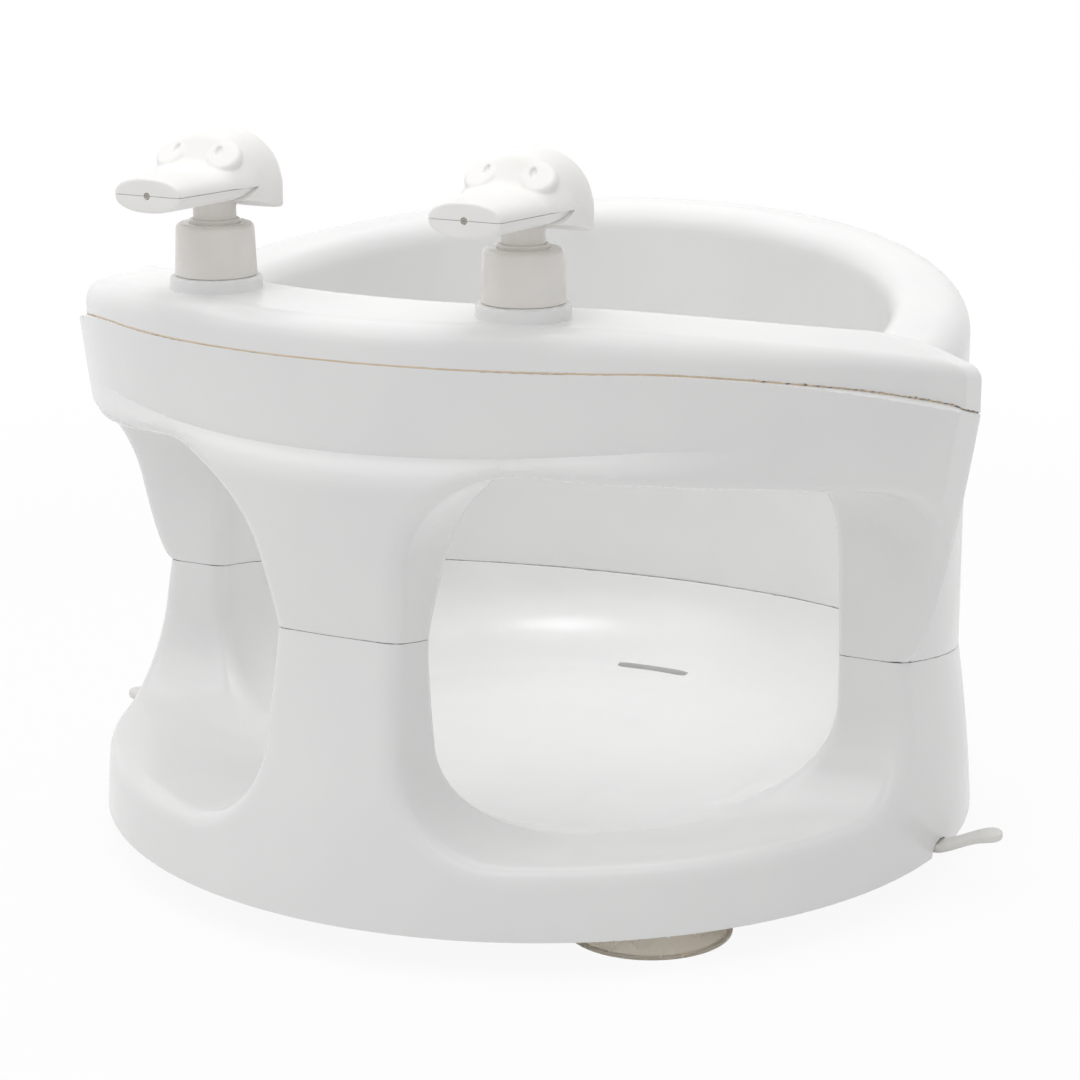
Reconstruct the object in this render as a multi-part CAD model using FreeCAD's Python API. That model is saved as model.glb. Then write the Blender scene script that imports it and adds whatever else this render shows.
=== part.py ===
import FreeCAD, Part
import math
import os

# Baby bath seat: a round double-walled base with a ring clipped on it, a crescent lid over two
# soap tanks, and two small pumps whose heads are plain duck heads. Sizes are in millimetres.
# X runs to the seat's left and right, front is -Y, and Z is up. Heights below are measured from
# the foot of the base's wall, and place() lifts the finished parts on to the suction cups.

# Base
BASE_R = 180.0
BASE_MID_R = 177.0
BASE_MID_Z = 36.0
BASE_SKIN = 3.0
STANDOFF = 14.0
FLOOR_TOP_Z = 17.0
FLOOR_FLAT_R = 98.0
BOWL_BLEND_R = 46.0

# Seam between base and ring, a plane that falls to the back
SEAM_Z = 77.0
SEAM_FALL = 0.18
SEAM_R = 171.0
SEAM_INNER_R = 144.0
SEAM_CENTRE_Y = 6.0
SEAM_GAP = 0.5
RING_FOOT_T = 4.0

# Ring: its plan is drawn on a plane above the rim
PLAN_Z = 245.0
PLAN_FRONT_R = 200.0
PLAN_FRONT_Y = 178.3
PLAN_WING_DEG = 38.67
PLAN_SIDE_X = 202.5
PLAN_HEEL_Y = 15.0
PLAN_HEEL_R = 6.0
WING_HEEL_DEG = 3.0
PLAN_BACK_R = 179.3
PLAN_BACK_Y = 17.7
PLAN_HOLE_R = 140.0
PLAN_HOLE_Y = 2.0
PLAN_HOLE_FRONT_R = 190.0
PLAN_HOLE_FRONT_Y = 113.5
HOLE_CORNER_R = 30.0
RING_SKIN = 3.0

# Rim of the back wall
RIM_Z = 203.5
RIM_RISE = 0.149
RIM_OUTER_ROLL = 13.0
RIM_INNER_ROLL = 11.0
RIM_SKIN = 7.0

# Leg openings
POST_HALF_W = 24.0
POST_WAIST_Z = 104.0
POST_TOP_HALF_W = 33.0
POST_TOP_Z = 150.0
POST_FOOT_HALF_W = 28.0
POST_FOOT_Z = 60.0
REAR_POST_Y = 25.0
OPENING_TOP_Z = 176.0
OPENING_TOP_ROUND = 40.0
OPENING_FOOT_ROUND = 36.0
SILL_INNER_R = 112.0
SILL_INNER_Z = 18.4
SILL_OUTER_Z = 28.0

# Lid
LID_FRONT_Y = 175.0
LID_FRONT_R = 190.0
LID_WING_DEG = 33.82
LID_SIDE_X = 194.4
LID_HEEL_Y = 13.5
LID_HEEL_R = 9.6
LID_HEEL_LEAST_R = 1.0
LID_REAR_Y = 119.0
LID_REAR_R = 190.0
LID_SEAM_Z = 211.0
LID_CROWN_R = 770.0
# Below every part of the lid and of the tanks
LID_FOOT_Z = 147.0
LID_TOP_Z = 226.0
LID_FLAT_HALF_W = 60.0
LID_BEND_R = 320.0
LID_ROUND = 9.0
LID_WALL = 4.0
LID_GAP = 0.5
GASKET_T = 1.0
GASKET_INSET = 2.0
GASKET_W = 5.0
POCKET_REAR_Y = 42.0
POCKET_FLANGE_IN = 8.0

# Tanks
TANK_IN = 12.0
TANK_WALL = 1.6
TANK_H = 27.0
TANK_MIDDLE_X = 5.0
TANK_END_X = 146.0

# Pumps
PUMP_X = 64.5
PUMP_Y = 137.0
BOSS_R = 17.2
BOSS_TOP_Z = 231.0
NECK_R = 13.4
NECK_BORE_R = 11.9
NECK_TOP_Z = 246.0
COLLAR_FOOT_R = 15.3
COLLAR_TOP_R = 14.5
COLLAR_TOP_Z = 250.5
COLLAR_ROUND = 1.8
COLLAR_PLATE_T = 2.0
THREAD_CLEAR = 0.3
SEAL_T = 1.0
BARREL_R = 11.5
BARREL_BORE_R = 10.0
BARREL_FLANGE_T = 1.4
BARREL_FOOT_Z = 208.0
BARREL_FOOT_T = 1.5
VALVE_SEAT_R = 2.2
NIPPLE_R = 3.4
NIPPLE_H = 5.0
TUBE_WALL = 0.8
TUBE_FOOT_GAP = 2.0
BUSH_RING_R = 9.35
BUSH_RING_H = 1.5
BUSH_H = 9.0
STEM_R = 8.0
STEM_BORE_R = 2.4
STEM_FOOT_Z = 226.0
STEM_TOP_Z = 264.0
RUN_CLEAR = 0.05
PISTON_H = 5.0
PISTON_LIP_H = 1.6
SPRING_WIRE = 1.0
SPRING_R = 5.6
SPRING_TURNS = 5
BALL_R = 2.8
PUMP_TRAVEL = 5.0
PRESSED_GAP = 0.5

# Duck head: the head turns on the stem, its bill points to the front
HEAD_FOOT_Z = COLLAR_TOP_Z + BUSH_RING_H + PUMP_TRAVEL + PRESSED_GAP
HEAD_TOP_Z = 286.0
HEAD_MIDDLE_Z = 262.0
HEAD_W = 48.0
HEAD_BACK = 28.0
HEAD_FRONT = 22.0
NAPE_Z = 253.0
HEAD_SKIN = 2.0
BILL_REACH = 47.0
BILL_TIP_W = 29.3
BILL_TIP_H = 12.8
BILL_ROOT_SHARE = 0.36
BILL_ROOT_W = 38.0
BILL_ROOT_H = 15.0
BILL_WAIST_W = 28.0
BILL_WAIST_H = 13.0
BILL_TIP_Z = 262.0
BILL_RISE = 3.0
MOUTH_Z = 262.5
MOUTH_GAP = 0.3
EYE_R = 6.8
EYE_X = 11.3
EYE_Y = 12.4
EYE_Z = 278.0
EYE_OUT_DEG = 22.0
EYE_UP_DEG = 24.0
EYE_DEPTH = 7.0
EYE_ROUND = 1.5
SOCKET_R = 10.4
NOZZLE_R = 1.4

# Suction cups and release straps
CUP_R = 32.0
CUP_X = 97.0
CUP_Y = 97.0
CUP_RIM_W = 3.0
CUP_RIM_H = 1.5
CUP_HOLLOW_H = 6.0
CUP_HUB_R = 10.0
CUP_SHOULDER_Z = 0.6
CUP_NECK_R = 5.0
CUP_KNOB_R = 7.0
CUP_KNOB_H = 5.0
CUP_PLATE_T = 3.0
CUP_BOSS_R = 14.0
CUP_BOSS_WALL = 2.5
FIT_CLEAR = 0.3
STRAP_T = 3.0
STRAP_W = 9.0
STRAP_EYE_R = 10.0
STRAP_ROOT_X = 160.0
TAB_Y = 4.0
TAB_REACH = 25.0
TAB_LEAF_R = 6.0
TAB_LEAF_L = 16.0
NOTCH_H = 5.5
NOTCH_W = 16.0

# Drain slot in the floor
SLOT_R = 107.0
SLOT_L = 30.0
SLOT_W = 4.0

# Tongues that hold the ring to the base
TONGUE_T = 10.0
TONGUE_W = 26.0
TONGUE_H = 14.0
TONGUE_DEGS = (-90.0, 25.0, 90.0, 155.0)

# Two points nearer than this are taken as one
TOUCH = 0.01
# Points looked at along an edge when it is sorted
EDGE_POINTS = 5
# One reach for every tool that has to pass right through
FAR = 260.0
# The part is centred on its box from bill tips to back
CENTRE_Y = (BASE_R - PUMP_Y - BILL_REACH) / 2

UP = FreeCAD.Vector(0, 0, 1)
BACKWARD = FreeCAD.Vector(0, 1, 0)
ORIGIN = FreeCAD.Vector(0, 0, 0)


def vec(x, y, z=0.0):
    return FreeCAD.Vector(x, y, z)


def arc(start, middle, end):
    return Part.Arc(start, middle, end).toShape()


def line(start, end):
    return Part.makeLine(start, end)


def polar(centre, radius, angle):
    return vec(centre.x + radius * math.cos(angle), centre.y + radius * math.sin(angle), centre.z)


def arc_about(centre, radius, first, last):
    middle = (first + last) / 2
    return arc(polar(centre, radius, first), polar(centre, radius, middle), polar(centre, radius, last))


def turned(points, axis_x=0.0, axis_y=0.0):
    """A solid of revolution from (radius, height) points."""
    wire = Part.makePolygon([vec(r, 0, z) for r, z in points + points[:1]])
    solid = Part.Face(wire).revolve(ORIGIN, UP, 360)
    solid.translate(vec(axis_x, axis_y))
    return solid


def tube(radius, bore, foot, top, x=0.0, y=0.0):
    return turned([(bore, foot), (radius, foot), (radius, top), (bore, top)], x, y)


def rod(radius, foot, top, x=0.0, y=0.0):
    return Part.makeCylinder(radius, top - foot, vec(x, y, foot))


def mirrored(shape):
    return shape.mirror(ORIGIN, vec(1, 0))


def crown(top_z):
    """The solid under a surface that is crowned from side to side."""
    return Part.makeCylinder(LID_CROWN_R, 2 * FAR, vec(0, -FAR, top_z - LID_CROWN_R), BACKWARD)


def slab(low_z, high_z):
    return Part.makeBox(2 * FAR, 2 * FAR, high_z - low_z, vec(-FAR, -FAR, low_z))


def above_plane(z_at_centre, slope):
    """Everything over the plane z = z_at_centre + slope * y."""
    low, high = z_at_centre - slope * FAR, z_at_centre + slope * FAR
    top = PLAN_Z + FAR
    wire = Part.makePolygon([vec(-FAR, -FAR, low), vec(-FAR, FAR, high), vec(-FAR, FAR, top),
                             vec(-FAR, -FAR, top), vec(-FAR, -FAR, low)])
    return Part.Face(wire).extrude(vec(2 * FAR, 0))


def on_seam(edge):
    """An edge of the plan laid on the seam plane."""
    matrix = FreeCAD.Matrix()
    matrix.A32 = -SEAM_FALL
    matrix.A34 = SEAM_Z
    return edge.transformGeometry(matrix).Edges[0]


def ruled_solid(low_edges, high_edges):
    """A straight-ruled solid between two outlines with paired edges."""
    return Part.makeLoft([Part.Wire(low_edges), Part.Wire(high_edges)], True, True)


def flip(point):
    return vec(-point.x, point.y, point.z)


def wing_corners(front, front_r, wing_deg, side_x, heel_y, heel_r):
    """Corners of a wing's plan, from the end of the front arc to the end of the rear rounding.

    The arc runs on as its tangent line to the side edge, which runs back to the rounded heel.
    """
    lean = -math.radians(wing_deg)
    front_end = polar(front, front_r, lean)
    run = (side_x - front_end.x) / -math.sin(lean)
    edge = vec(side_x, front_end.y + run * math.cos(lean), front.z)
    heel_start, heel_end = vec(side_x, heel_y - heel_r, front.z), vec(side_x - heel_r, heel_y, front.z)
    middle = polar(vec(side_x - heel_r, heel_y - heel_r, front.z), heel_r, math.pi / 4)
    return front_end, edge, heel_start, middle, heel_end


def ring_plan(grow=0.0):
    """The ring's outside on the plan plane, as ten edges from the front round to the left."""
    front_r, back_r = PLAN_FRONT_R + grow, PLAN_BACK_R + grow
    front = vec(0, PLAN_FRONT_R - PLAN_FRONT_Y, PLAN_Z)
    back = vec(0, -PLAN_BACK_Y, PLAN_Z)
    front_end, edge, heel_start, middle, heel_end = wing_corners(
        front, front_r, PLAN_WING_DEG, PLAN_SIDE_X + grow, grow - PLAN_HEEL_Y, PLAN_HEEL_R + grow)
    root = vec(math.sqrt(back_r ** 2 - (heel_end.y - back.y) ** 2), heel_end.y, PLAN_Z)
    edges = [arc(flip(front_end), polar(front, front_r, -math.pi / 2), front_end),
             line(front_end, edge), line(edge, heel_start),
             arc(heel_start, middle, heel_end), line(heel_end, root),
             arc(root, polar(back, back_r, math.pi / 2), flip(root)), line(flip(root), flip(heel_end)),
             arc(flip(heel_end), flip(middle), flip(heel_start)), line(flip(heel_start), flip(edge)),
             line(flip(edge), flip(front_end))]
    return edges, [front_end, edge, heel_start, heel_end]


def seam_edges(radius, right_nodes, heel_turn=0.0):
    """The seam circle split at the directions of the plan's nodes, so that each edge has its pair."""
    right = [math.atan2(node.y - SEAM_CENTRE_Y, node.x) for node in right_nodes]
    if heel_turn:
        right.append(right[-1] + heel_turn)
    left = [math.pi - angle for angle in reversed(right)]
    angles = [left[-1] - 2 * math.pi] + right + left
    return [on_seam(arc_about(vec(0, SEAM_CENTRE_Y), radius, a, b)) for a, b in zip(angles, angles[1:])]


def ring_outside(grow=0.0):
    plan, nodes = ring_plan(grow)
    return ruled_solid(seam_edges(SEAM_R + grow, nodes, math.radians(WING_HEEL_DEG)), plan)


def wall_outside(grow=0.0):
    """The back wall's outside without the wings."""
    start, turn = -math.pi / 2, math.pi
    seam = [on_seam(arc_about(vec(0, SEAM_CENTRE_Y), SEAM_R + grow, start + turn * k, start + turn * (k + 1)))
            for k in range(2)]
    top = [arc_about(vec(0, -PLAN_BACK_Y, PLAN_Z), PLAN_BACK_R + grow, start + turn * k,
                     start + turn * (k + 1)) for k in range(2)]
    return ruled_solid(seam, top)


def hole_plan(grow=0.0):
    """The seat's inside on the plan plane: a circle with a flatter front."""
    side = vec(0, -PLAN_HOLE_Y, PLAN_Z)
    side_r = PLAN_HOLE_R + grow
    front_r = PLAN_HOLE_FRONT_R + grow
    front = vec(0, PLAN_HOLE_FRONT_R - PLAN_HOLE_FRONT_Y, PLAN_Z)
    corner_r = HOLE_CORNER_R + grow
    near, far = side_r - corner_r, front_r - corner_r
    along = (near ** 2 - far ** 2 + (front.y - side.y) ** 2) / (2 * (front.y - side.y))
    corner = vec(math.sqrt(near ** 2 - along ** 2), side.y + along, PLAN_Z)
    if corner.y > side.y:
        corner.y = side.y - abs(along)
    low = math.atan2(corner.y - front.y, corner.x)
    high = math.atan2(corner.y - side.y, corner.x)
    low_point, high_point = polar(corner, corner_r, low), polar(corner, corner_r, high)
    middle = polar(corner, corner_r, (low + high) / 2)
    edges = [arc(flip(low_point), vec(0, front.y - front_r, PLAN_Z), low_point),
             arc(low_point, middle, high_point),
             arc(high_point, vec(0, side.y + side_r, PLAN_Z), flip(high_point)),
             arc(flip(high_point), flip(middle), flip(low_point))]
    return edges, [low_point, high_point]


def ring_hole(grow=0.0):
    plan, nodes = hole_plan(grow)
    return ruled_solid(seam_edges(SEAM_INNER_R + grow, nodes), plan)


def lid_plan(inset=0.0, z=0.0, reach=False):
    """The lid's plan; with reach, everything in front of the lid's rear edge."""
    rear_r = LID_REAR_R + inset
    rear = vec(0, LID_REAR_R - LID_REAR_Y, z)
    end_y = -LID_HEEL_Y - inset
    end = vec(math.sqrt(rear_r ** 2 - (end_y - rear.y) ** 2), end_y, z)
    rear_arc = arc(end, vec(0, rear.y - rear_r, z), flip(end))
    if reach:
        corner = [flip(end), vec(-FAR, end_y, z), vec(-FAR, -FAR, z), vec(FAR, -FAR, z),
                  vec(FAR, end_y, z), end]
        return Part.Wire([rear_arc] + [line(a, b) for a, b in zip(corner, corner[1:])])
    front_r = LID_FRONT_R - inset
    front = vec(0, LID_FRONT_R - LID_FRONT_Y, z)
    front_end, edge, heel_start, middle, heel_end = wing_corners(
        front, front_r, LID_WING_DEG, LID_SIDE_X - inset, end_y, max(LID_HEEL_R - inset, LID_HEEL_LEAST_R))
    return Part.Wire([arc(flip(front_end), vec(0, front.y - front_r, z), front_end),
                      line(front_end, edge), line(edge, heel_start), arc(heel_start, middle, heel_end),
                      line(heel_end, end), rear_arc, line(flip(end), flip(heel_end)),
                      arc(flip(heel_end), flip(middle), flip(heel_start)), line(flip(heel_start), flip(edge)),
                      line(flip(edge), flip(front_end))])


def lid_prism(inset, low, high, reach=False):
    return Part.Face(lid_plan(inset, low, reach)).extrude(vec(0, 0, high - low))


def filleted(solid, radius, edges):
    """The solid with a fillet, checked for a sound result."""
    result = solid.makeFillet(radius, edges)
    if not result.isValid() or not result.Solids:
        raise ValueError("fillet failed")
    return result


def base_outside(grow=0.0):
    seam = [on_seam(arc_about(vec(0, SEAM_CENTRE_Y), SEAM_R + grow, a * math.pi, (a + 1) * math.pi))
            for a in range(2)]
    foot = [arc_about(ORIGIN, BASE_R + grow, a * math.pi, (a + 1) * math.pi) for a in range(2)]
    middle = [arc_about(vec(0, 0, BASE_MID_Z), BASE_MID_R + grow, a * math.pi, (a + 1) * math.pi)
              for a in range(2)]
    return Part.makeLoft([Part.Wire(foot), Part.Wire(middle), Part.Wire(seam)], True, False)


def bowl(grow=0.0):
    """The seat's hollow in the base: flat floor, blend and upright wall."""
    top = PLAN_Z
    floor_z = FLOOR_TOP_Z - grow
    wall_r = FLOOR_FLAT_R + BOWL_BLEND_R + grow
    blend_r = BOWL_BLEND_R + grow
    centre = vec(FLOOR_FLAT_R, 0, FLOOR_TOP_Z + BOWL_BLEND_R)
    start = vec(FLOOR_FLAT_R, 0, floor_z)
    middle = vec(centre.x + blend_r * math.sin(math.pi / 4), 0, centre.z - blend_r * math.cos(math.pi / 4))
    end = vec(wall_r, 0, centre.z)
    rim, axis_top, axis_foot = vec(wall_r, 0, top), vec(0, 0, top), vec(0, 0, floor_z)
    wire = Part.Wire([line(axis_foot, start), arc(start, middle, end), line(end, rim),
                      line(rim, axis_top), line(axis_top, axis_foot)])
    solid = Part.Face(wire).revolve(ORIGIN, UP, 360)
    solid.translate(vec(0, SEAM_CENTRE_Y))
    return solid


def above_sill(drop=0.0):
    """Everything over the leg openings' sill, which falls from the skirt to the floor."""
    outer_r = BASE_R + SEAM_CENTRE_Y
    rise = (SILL_OUTER_Z - SILL_INNER_Z) / (outer_r - SILL_INNER_R)
    far_z = SILL_INNER_Z + rise * (FAR - SILL_INNER_R)
    return turned([(SILL_INNER_R, SILL_INNER_Z - drop), (FAR, far_z - drop), (FAR, PLAN_Z),
                   (SILL_INNER_R, PLAN_Z)], 0, SEAM_CENTRE_Y)


def side_prism(profile, grow=0.0):
    """A front-view (x, z) outline run from the rear post's face to beyond the front."""
    wire = Part.makePolygon([vec(x, -FAR, z) for x, z in profile + profile[:1]])
    return Part.Face(wire).extrude(vec(0, FAR - REAR_POST_Y + grow))


def lower_opening(grow=0.0):
    """Tool for the right leg opening's lower half; grow leaves a skin round it."""
    slope = (POST_FOOT_HALF_W - POST_HALF_W) / (POST_WAIST_Z - POST_FOOT_Z)
    foot_x = POST_HALF_W + slope * POST_WAIST_Z
    high = POST_WAIST_Z + BASE_MID_Z
    prism = side_prism([(foot_x - grow, 0), (FAR, 0), (FAR, high), (POST_HALF_W - grow, high),
                        (POST_HALF_W - grow, POST_WAIST_Z)], grow)
    tool = prism.common(above_sill(grow))
    corners = [edge for edge in tool.Edges
               if runs_beside_post(edge, grow) and edge.BoundBox.ZMax < POST_FOOT_Z]
    return filleted(tool, OPENING_FOOT_ROUND + grow, corners)


def upper_opening(grow=0.0):
    """Tool for the right leg opening's upper half; grow leaves a skin round it."""
    slope = (POST_TOP_HALF_W - POST_HALF_W) / (POST_TOP_Z - POST_WAIST_Z)
    high = PLAN_Z
    top_x = POST_HALF_W + slope * (high - POST_WAIST_Z)
    low = SEAM_Z / 2
    prism = side_prism([(POST_HALF_W - grow, low), (FAR, low), (FAR, high), (top_x - grow, high),
                        (POST_HALF_W - grow, POST_WAIST_Z)], grow)
    tool = prism.common(crown(OPENING_TOP_Z + grow))
    corners = [edge for edge in tool.Edges
               if runs_beside_post(edge, grow) and edge.BoundBox.ZMin > POST_WAIST_Z]
    return filleted(tool, OPENING_TOP_ROUND + grow, corners)


def runs_beside_post(edge, grow):
    """True for a long edge that lies on the front post's side or on the rear post's face."""
    box = edge.BoundBox
    if box.ZLength > OPENING_TOP_Z / 2:
        return False
    on_rear = box.YLength < TOUCH and abs(box.YMax + REAR_POST_Y - grow) < TOUCH
    on_front = box.XMax < POST_TOP_HALF_W + POST_FOOT_HALF_W and box.YLength > SEAM_R / 2
    return on_rear or on_front


def both_sides(shape):
    return [shape, mirrored(shape)]


def on_plane(edge, z_at_centre, slope):
    return all(abs(p.z - z_at_centre - slope * p.y) < TOUCH for p in edge.discretize(EDGE_POINTS))


def is_outside(edge, radius):
    """True for an edge whose middle lies further out from the hole's axis than the radius."""
    middle = edge.discretize(EDGE_POINTS)[EDGE_POINTS // 2]
    return math.hypot(middle.x, middle.y + PLAN_HOLE_Y) > radius


def back_wall(hole):
    """The ring's wall with its rim rolled both ways, all round before the front is taken off."""
    wall = wall_outside().cut(hole).cut(above_plane(RIM_Z, RIM_RISE))
    rim_middle_r = (PLAN_BACK_R + PLAN_HOLE_R) / 2
    for roll, outer in ((RIM_OUTER_ROLL, True), (RIM_INNER_ROLL, False)):
        edges = [edge for edge in wall.Edges
                 if on_plane(edge, RIM_Z, RIM_RISE) and is_outside(edge, rim_middle_r) == outer]
        wall = filleted(wall, roll, edges)
    return wall


def behind(shape, y):
    """The part of a shape behind a plane across the seat."""
    return shape.common(Part.makeBox(2 * FAR, 2 * FAR, 3 * FAR, vec(-FAR, y, -FAR)))


def ahead(shape, y):
    return shape.common(Part.makeBox(2 * FAR, 2 * FAR, 3 * FAR, vec(-FAR, y - 2 * FAR, -FAR)))


def ring_shell():
    """The ring: back wall and wings, hollowed behind a skin, with a pocket for the tanks."""
    hole = ring_hole()
    lid_zone = lid_prism(-LID_GAP, 0, 2 * FAR, reach=True)
    rear = back_wall(hole).cut(lid_zone)
    front = ring_outside().common(crown(LID_SEAM_Z)).common(lid_zone).cut(hole)
    body = rear.fuse(front).cut(both_sides(upper_opening()))
    return body.cut(ring_spaces()).fuse(tongues())


def ring_spaces():
    """The hollows inside the ring's skins; those of the wall and of the wings meet at one face."""
    over_foot = above_plane(SEAM_Z + RING_FOOT_T, -SEAM_FALL)
    inside = ring_hole(RING_SKIN)
    grown = both_sides(upper_opening(RING_SKIN))
    front_zone = lid_prism(-LID_GAP - RING_SKIN, 0, 2 * FAR, reach=True)
    wall = wall_outside(-RING_SKIN).cut(inside).common(over_foot)
    wall = wall.cut(above_plane(RIM_Z - RIM_SKIN, RIM_RISE)).cut(grown + [front_zone])
    wings = ring_outside(-RING_SKIN).cut(inside).common(over_foot).cut(grown).common(front_zone)
    ceiling, pocket_foot = crown(OPENING_TOP_Z), crown(OPENING_TOP_Z + RING_SKIN)
    flange_foot = crown(LID_SEAM_Z - RING_SKIN)
    posts = wings.common(ceiling)
    tips = behind(wings.common(flange_foot).cut(ceiling), RING_SKIN - POCKET_REAR_Y)
    pocket = ahead(wings.common(flange_foot).cut(pocket_foot), -POCKET_REAR_Y)
    mouth = ahead(lid_prism(POCKET_FLANGE_IN, OPENING_TOP_Z, PLAN_Z).cut(flange_foot), -POCKET_REAR_Y)
    return [wall, posts, tips, pocket, mouth]


def tongue(degrees):
    """One tongue under the ring, an arc of the wall's middle."""
    middle_r = (SEAM_R + SEAM_INNER_R) / 2
    half = TONGUE_W / 2 / middle_r
    centre = vec(0, SEAM_CENTRE_Y, -FAR)
    angle = math.radians(degrees)
    outer = [polar(centre, middle_r + TONGUE_T / 2, angle + k * half) for k in (-1, 0, 1)]
    inner = [polar(centre, middle_r - TONGUE_T / 2, angle + k * half) for k in (-1, 0, 1)]
    wire = Part.Wire([arc(*outer), line(outer[2], inner[2]), arc(inner[2], inner[1], inner[0]),
                      line(inner[0], outer[0])])
    block = Part.Face(wire).extrude(vec(0, 0, 2 * FAR))
    band = above_plane(SEAM_Z - TONGUE_H, -SEAM_FALL).cut(above_plane(SEAM_Z + RING_FOOT_T / 2, -SEAM_FALL))
    return block.common(band)


def tongues():
    return [tongue(degrees) for degrees in TONGUE_DEGS]


def cup_places():
    return [(CUP_X, -CUP_Y, "front_right"), (-CUP_X, -CUP_Y, "front_left"),
            (CUP_X, CUP_Y, "rear_right"), (-CUP_X, CUP_Y, "rear_left")]


def plate_z():
    return CUP_SHOULDER_Z + STRAP_T + 2 * FIT_CLEAR


def cup_boss(x, y, openings, grown):
    """Boss under the bowl that takes one suction cup's knob."""
    top = FLOOR_TOP_Z + BOWL_BLEND_R
    outer = rod(CUP_BOSS_R, plate_z(), top, x, y).cut(bowl()).cut(openings)
    inner = rod(CUP_BOSS_R - CUP_BOSS_WALL, plate_z() + CUP_PLATE_T, top, x, y)
    inner = inner.cut(bowl(BASE_SKIN)).cut(grown)
    return outer.common(base_outside()).cut(inner)


def base_shell():
    openings, grown = both_sides(lower_opening()), both_sides(lower_opening(BASE_SKIN))
    over_seam = above_plane(SEAM_Z - SEAM_GAP, -SEAM_FALL)
    body = base_outside().cut(over_seam).cut(bowl()).cut(openings)
    space = base_outside(-BASE_SKIN).cut(bowl(BASE_SKIN)).cut(grown)
    body = body.cut(space)
    body = body.fuse([cup_boss(x, y, openings, grown) for x, y, _ in cup_places()])
    hole_top = plate_z() + CUP_PLATE_T + BASE_SKIN
    holes = [rod(CUP_NECK_R + FIT_CLEAR, 0, hole_top, x, y) for x, y, _ in cup_places()]
    notch = Part.makeBox(FAR, NOTCH_W, NOTCH_H, vec(STRAP_ROOT_X, -TAB_Y - NOTCH_W / 2, 0))
    return body.cut(holes + both_sides(notch) + [drain_slot()]).removeSplitter()


def drain_slot():
    half = math.asin(SLOT_L / 2 / SLOT_R)
    centre = ORIGIN
    side = SLOT_W / 2
    up = math.pi / 2
    outer = arc_about(centre, SLOT_R + side, up - half, up + half)
    inner = arc_about(centre, SLOT_R - side, up - half, up + half)
    ends = []
    for turn in (half, -half):
        middle = polar(centre, SLOT_R, up + turn + math.copysign(side / SLOT_R, turn))
        ends.append(arc(polar(centre, SLOT_R + side, up + turn), middle,
                        polar(centre, SLOT_R - side, up + turn)))
    wire = Part.Wire(Part.__sortEdges__([outer, inner] + ends))
    return Part.Face(wire).extrude(vec(0, 0, FLOOR_TOP_Z * 2))


def lid_top_z(x):
    """Height of the lid's top: level in the middle, bent down towards both ends."""
    past = max(abs(x) - LID_FLAT_HALF_W, 0)
    return LID_TOP_Z - LID_BEND_R + math.sqrt(LID_BEND_R ** 2 - past ** 2)


def under_top(drop=0.0):
    """Everything under the lid's top surface, or a drop below it."""
    radius = LID_BEND_R - drop
    bend = vec(LID_FLAT_HALF_W, -FAR, LID_TOP_Z - LID_BEND_R)
    start = bend + vec(0, 0, radius)
    middle, end = [bend + vec(radius * math.sin(a), 0, radius * math.cos(a))
                   for a in (math.pi / 8, math.pi / 4)]
    foot = vec(end.x, -FAR, 0)
    profile = Part.Wire([arc(start, middle, end), line(end, foot), line(foot, flip(foot)),
                         line(flip(foot), flip(end)), arc(flip(end), flip(middle), flip(start)),
                         line(flip(start), start)])
    return Part.Face(profile).extrude(vec(0, 2 * FAR, 0))


def lid():
    under = crown(LID_SEAM_Z + GASKET_T)
    body = lid_prism(0, LID_FOOT_Z, PLAN_Z).common(under_top()).cut(under)
    rims = [e for e in body.Edges if is_on_top(e)]
    body = filleted(body, LID_ROUND, rims)
    hollow = lid_prism(LID_WALL, LID_FOOT_Z, PLAN_Z)
    hollow = hollow.common(under_top(LID_WALL))
    body = body.cut(hollow)
    for x in (-PUMP_X, PUMP_X):
        boss = rod(BOSS_R, LID_SEAM_Z, BOSS_TOP_Z, x, -PUMP_Y).cut(under)
        neck = rod(NECK_R, LID_SEAM_Z, NECK_TOP_Z, x, -PUMP_Y).cut(under)
        body = body.fuse([boss, neck]).cut(rod(NECK_BORE_R, 0, FAR, x, -PUMP_Y))
    return body.removeSplitter()


def is_on_top(edge):
    """True for an edge round the lid's top surface, and not for one that crosses it."""
    points = edge.discretize(EDGE_POINTS)
    on_top = all(abs(p.z - lid_top_z(p.x)) < TOUCH for p in points)
    return on_top and max(p.x for p in points) - min(p.x for p in points) > TOUCH


def lid_gasket():
    low, high = LID_FOOT_Z, PLAN_Z
    ring = lid_prism(GASKET_INSET, low, high).cut(lid_prism(GASKET_INSET + GASKET_W, low, high))
    return ring.common(crown(LID_SEAM_Z + GASKET_T)).cut(crown(LID_SEAM_Z))


def tank():
    """The right tank, an open tray under the lid."""
    floor = OPENING_TOP_Z + RING_SKIN + FIT_CLEAR
    low, high = LID_FOOT_Z, PLAN_Z
    length = TANK_END_X - TANK_MIDDLE_X
    limits = Part.makeBox(length, FAR, FAR, vec(TANK_MIDDLE_X, -FAR, 0))
    inner_limits = Part.makeBox(length - 2 * TANK_WALL, FAR, FAR, vec(TANK_MIDDLE_X + TANK_WALL, -FAR, 0))
    outer = lid_prism(TANK_IN, low, high).common(crown(floor + TANK_H)).cut(crown(floor)).common(limits)
    inner = lid_prism(TANK_IN + TANK_WALL, low, high).cut(crown(floor + TANK_WALL)).common(inner_limits)
    return outer.cut(inner)


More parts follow.
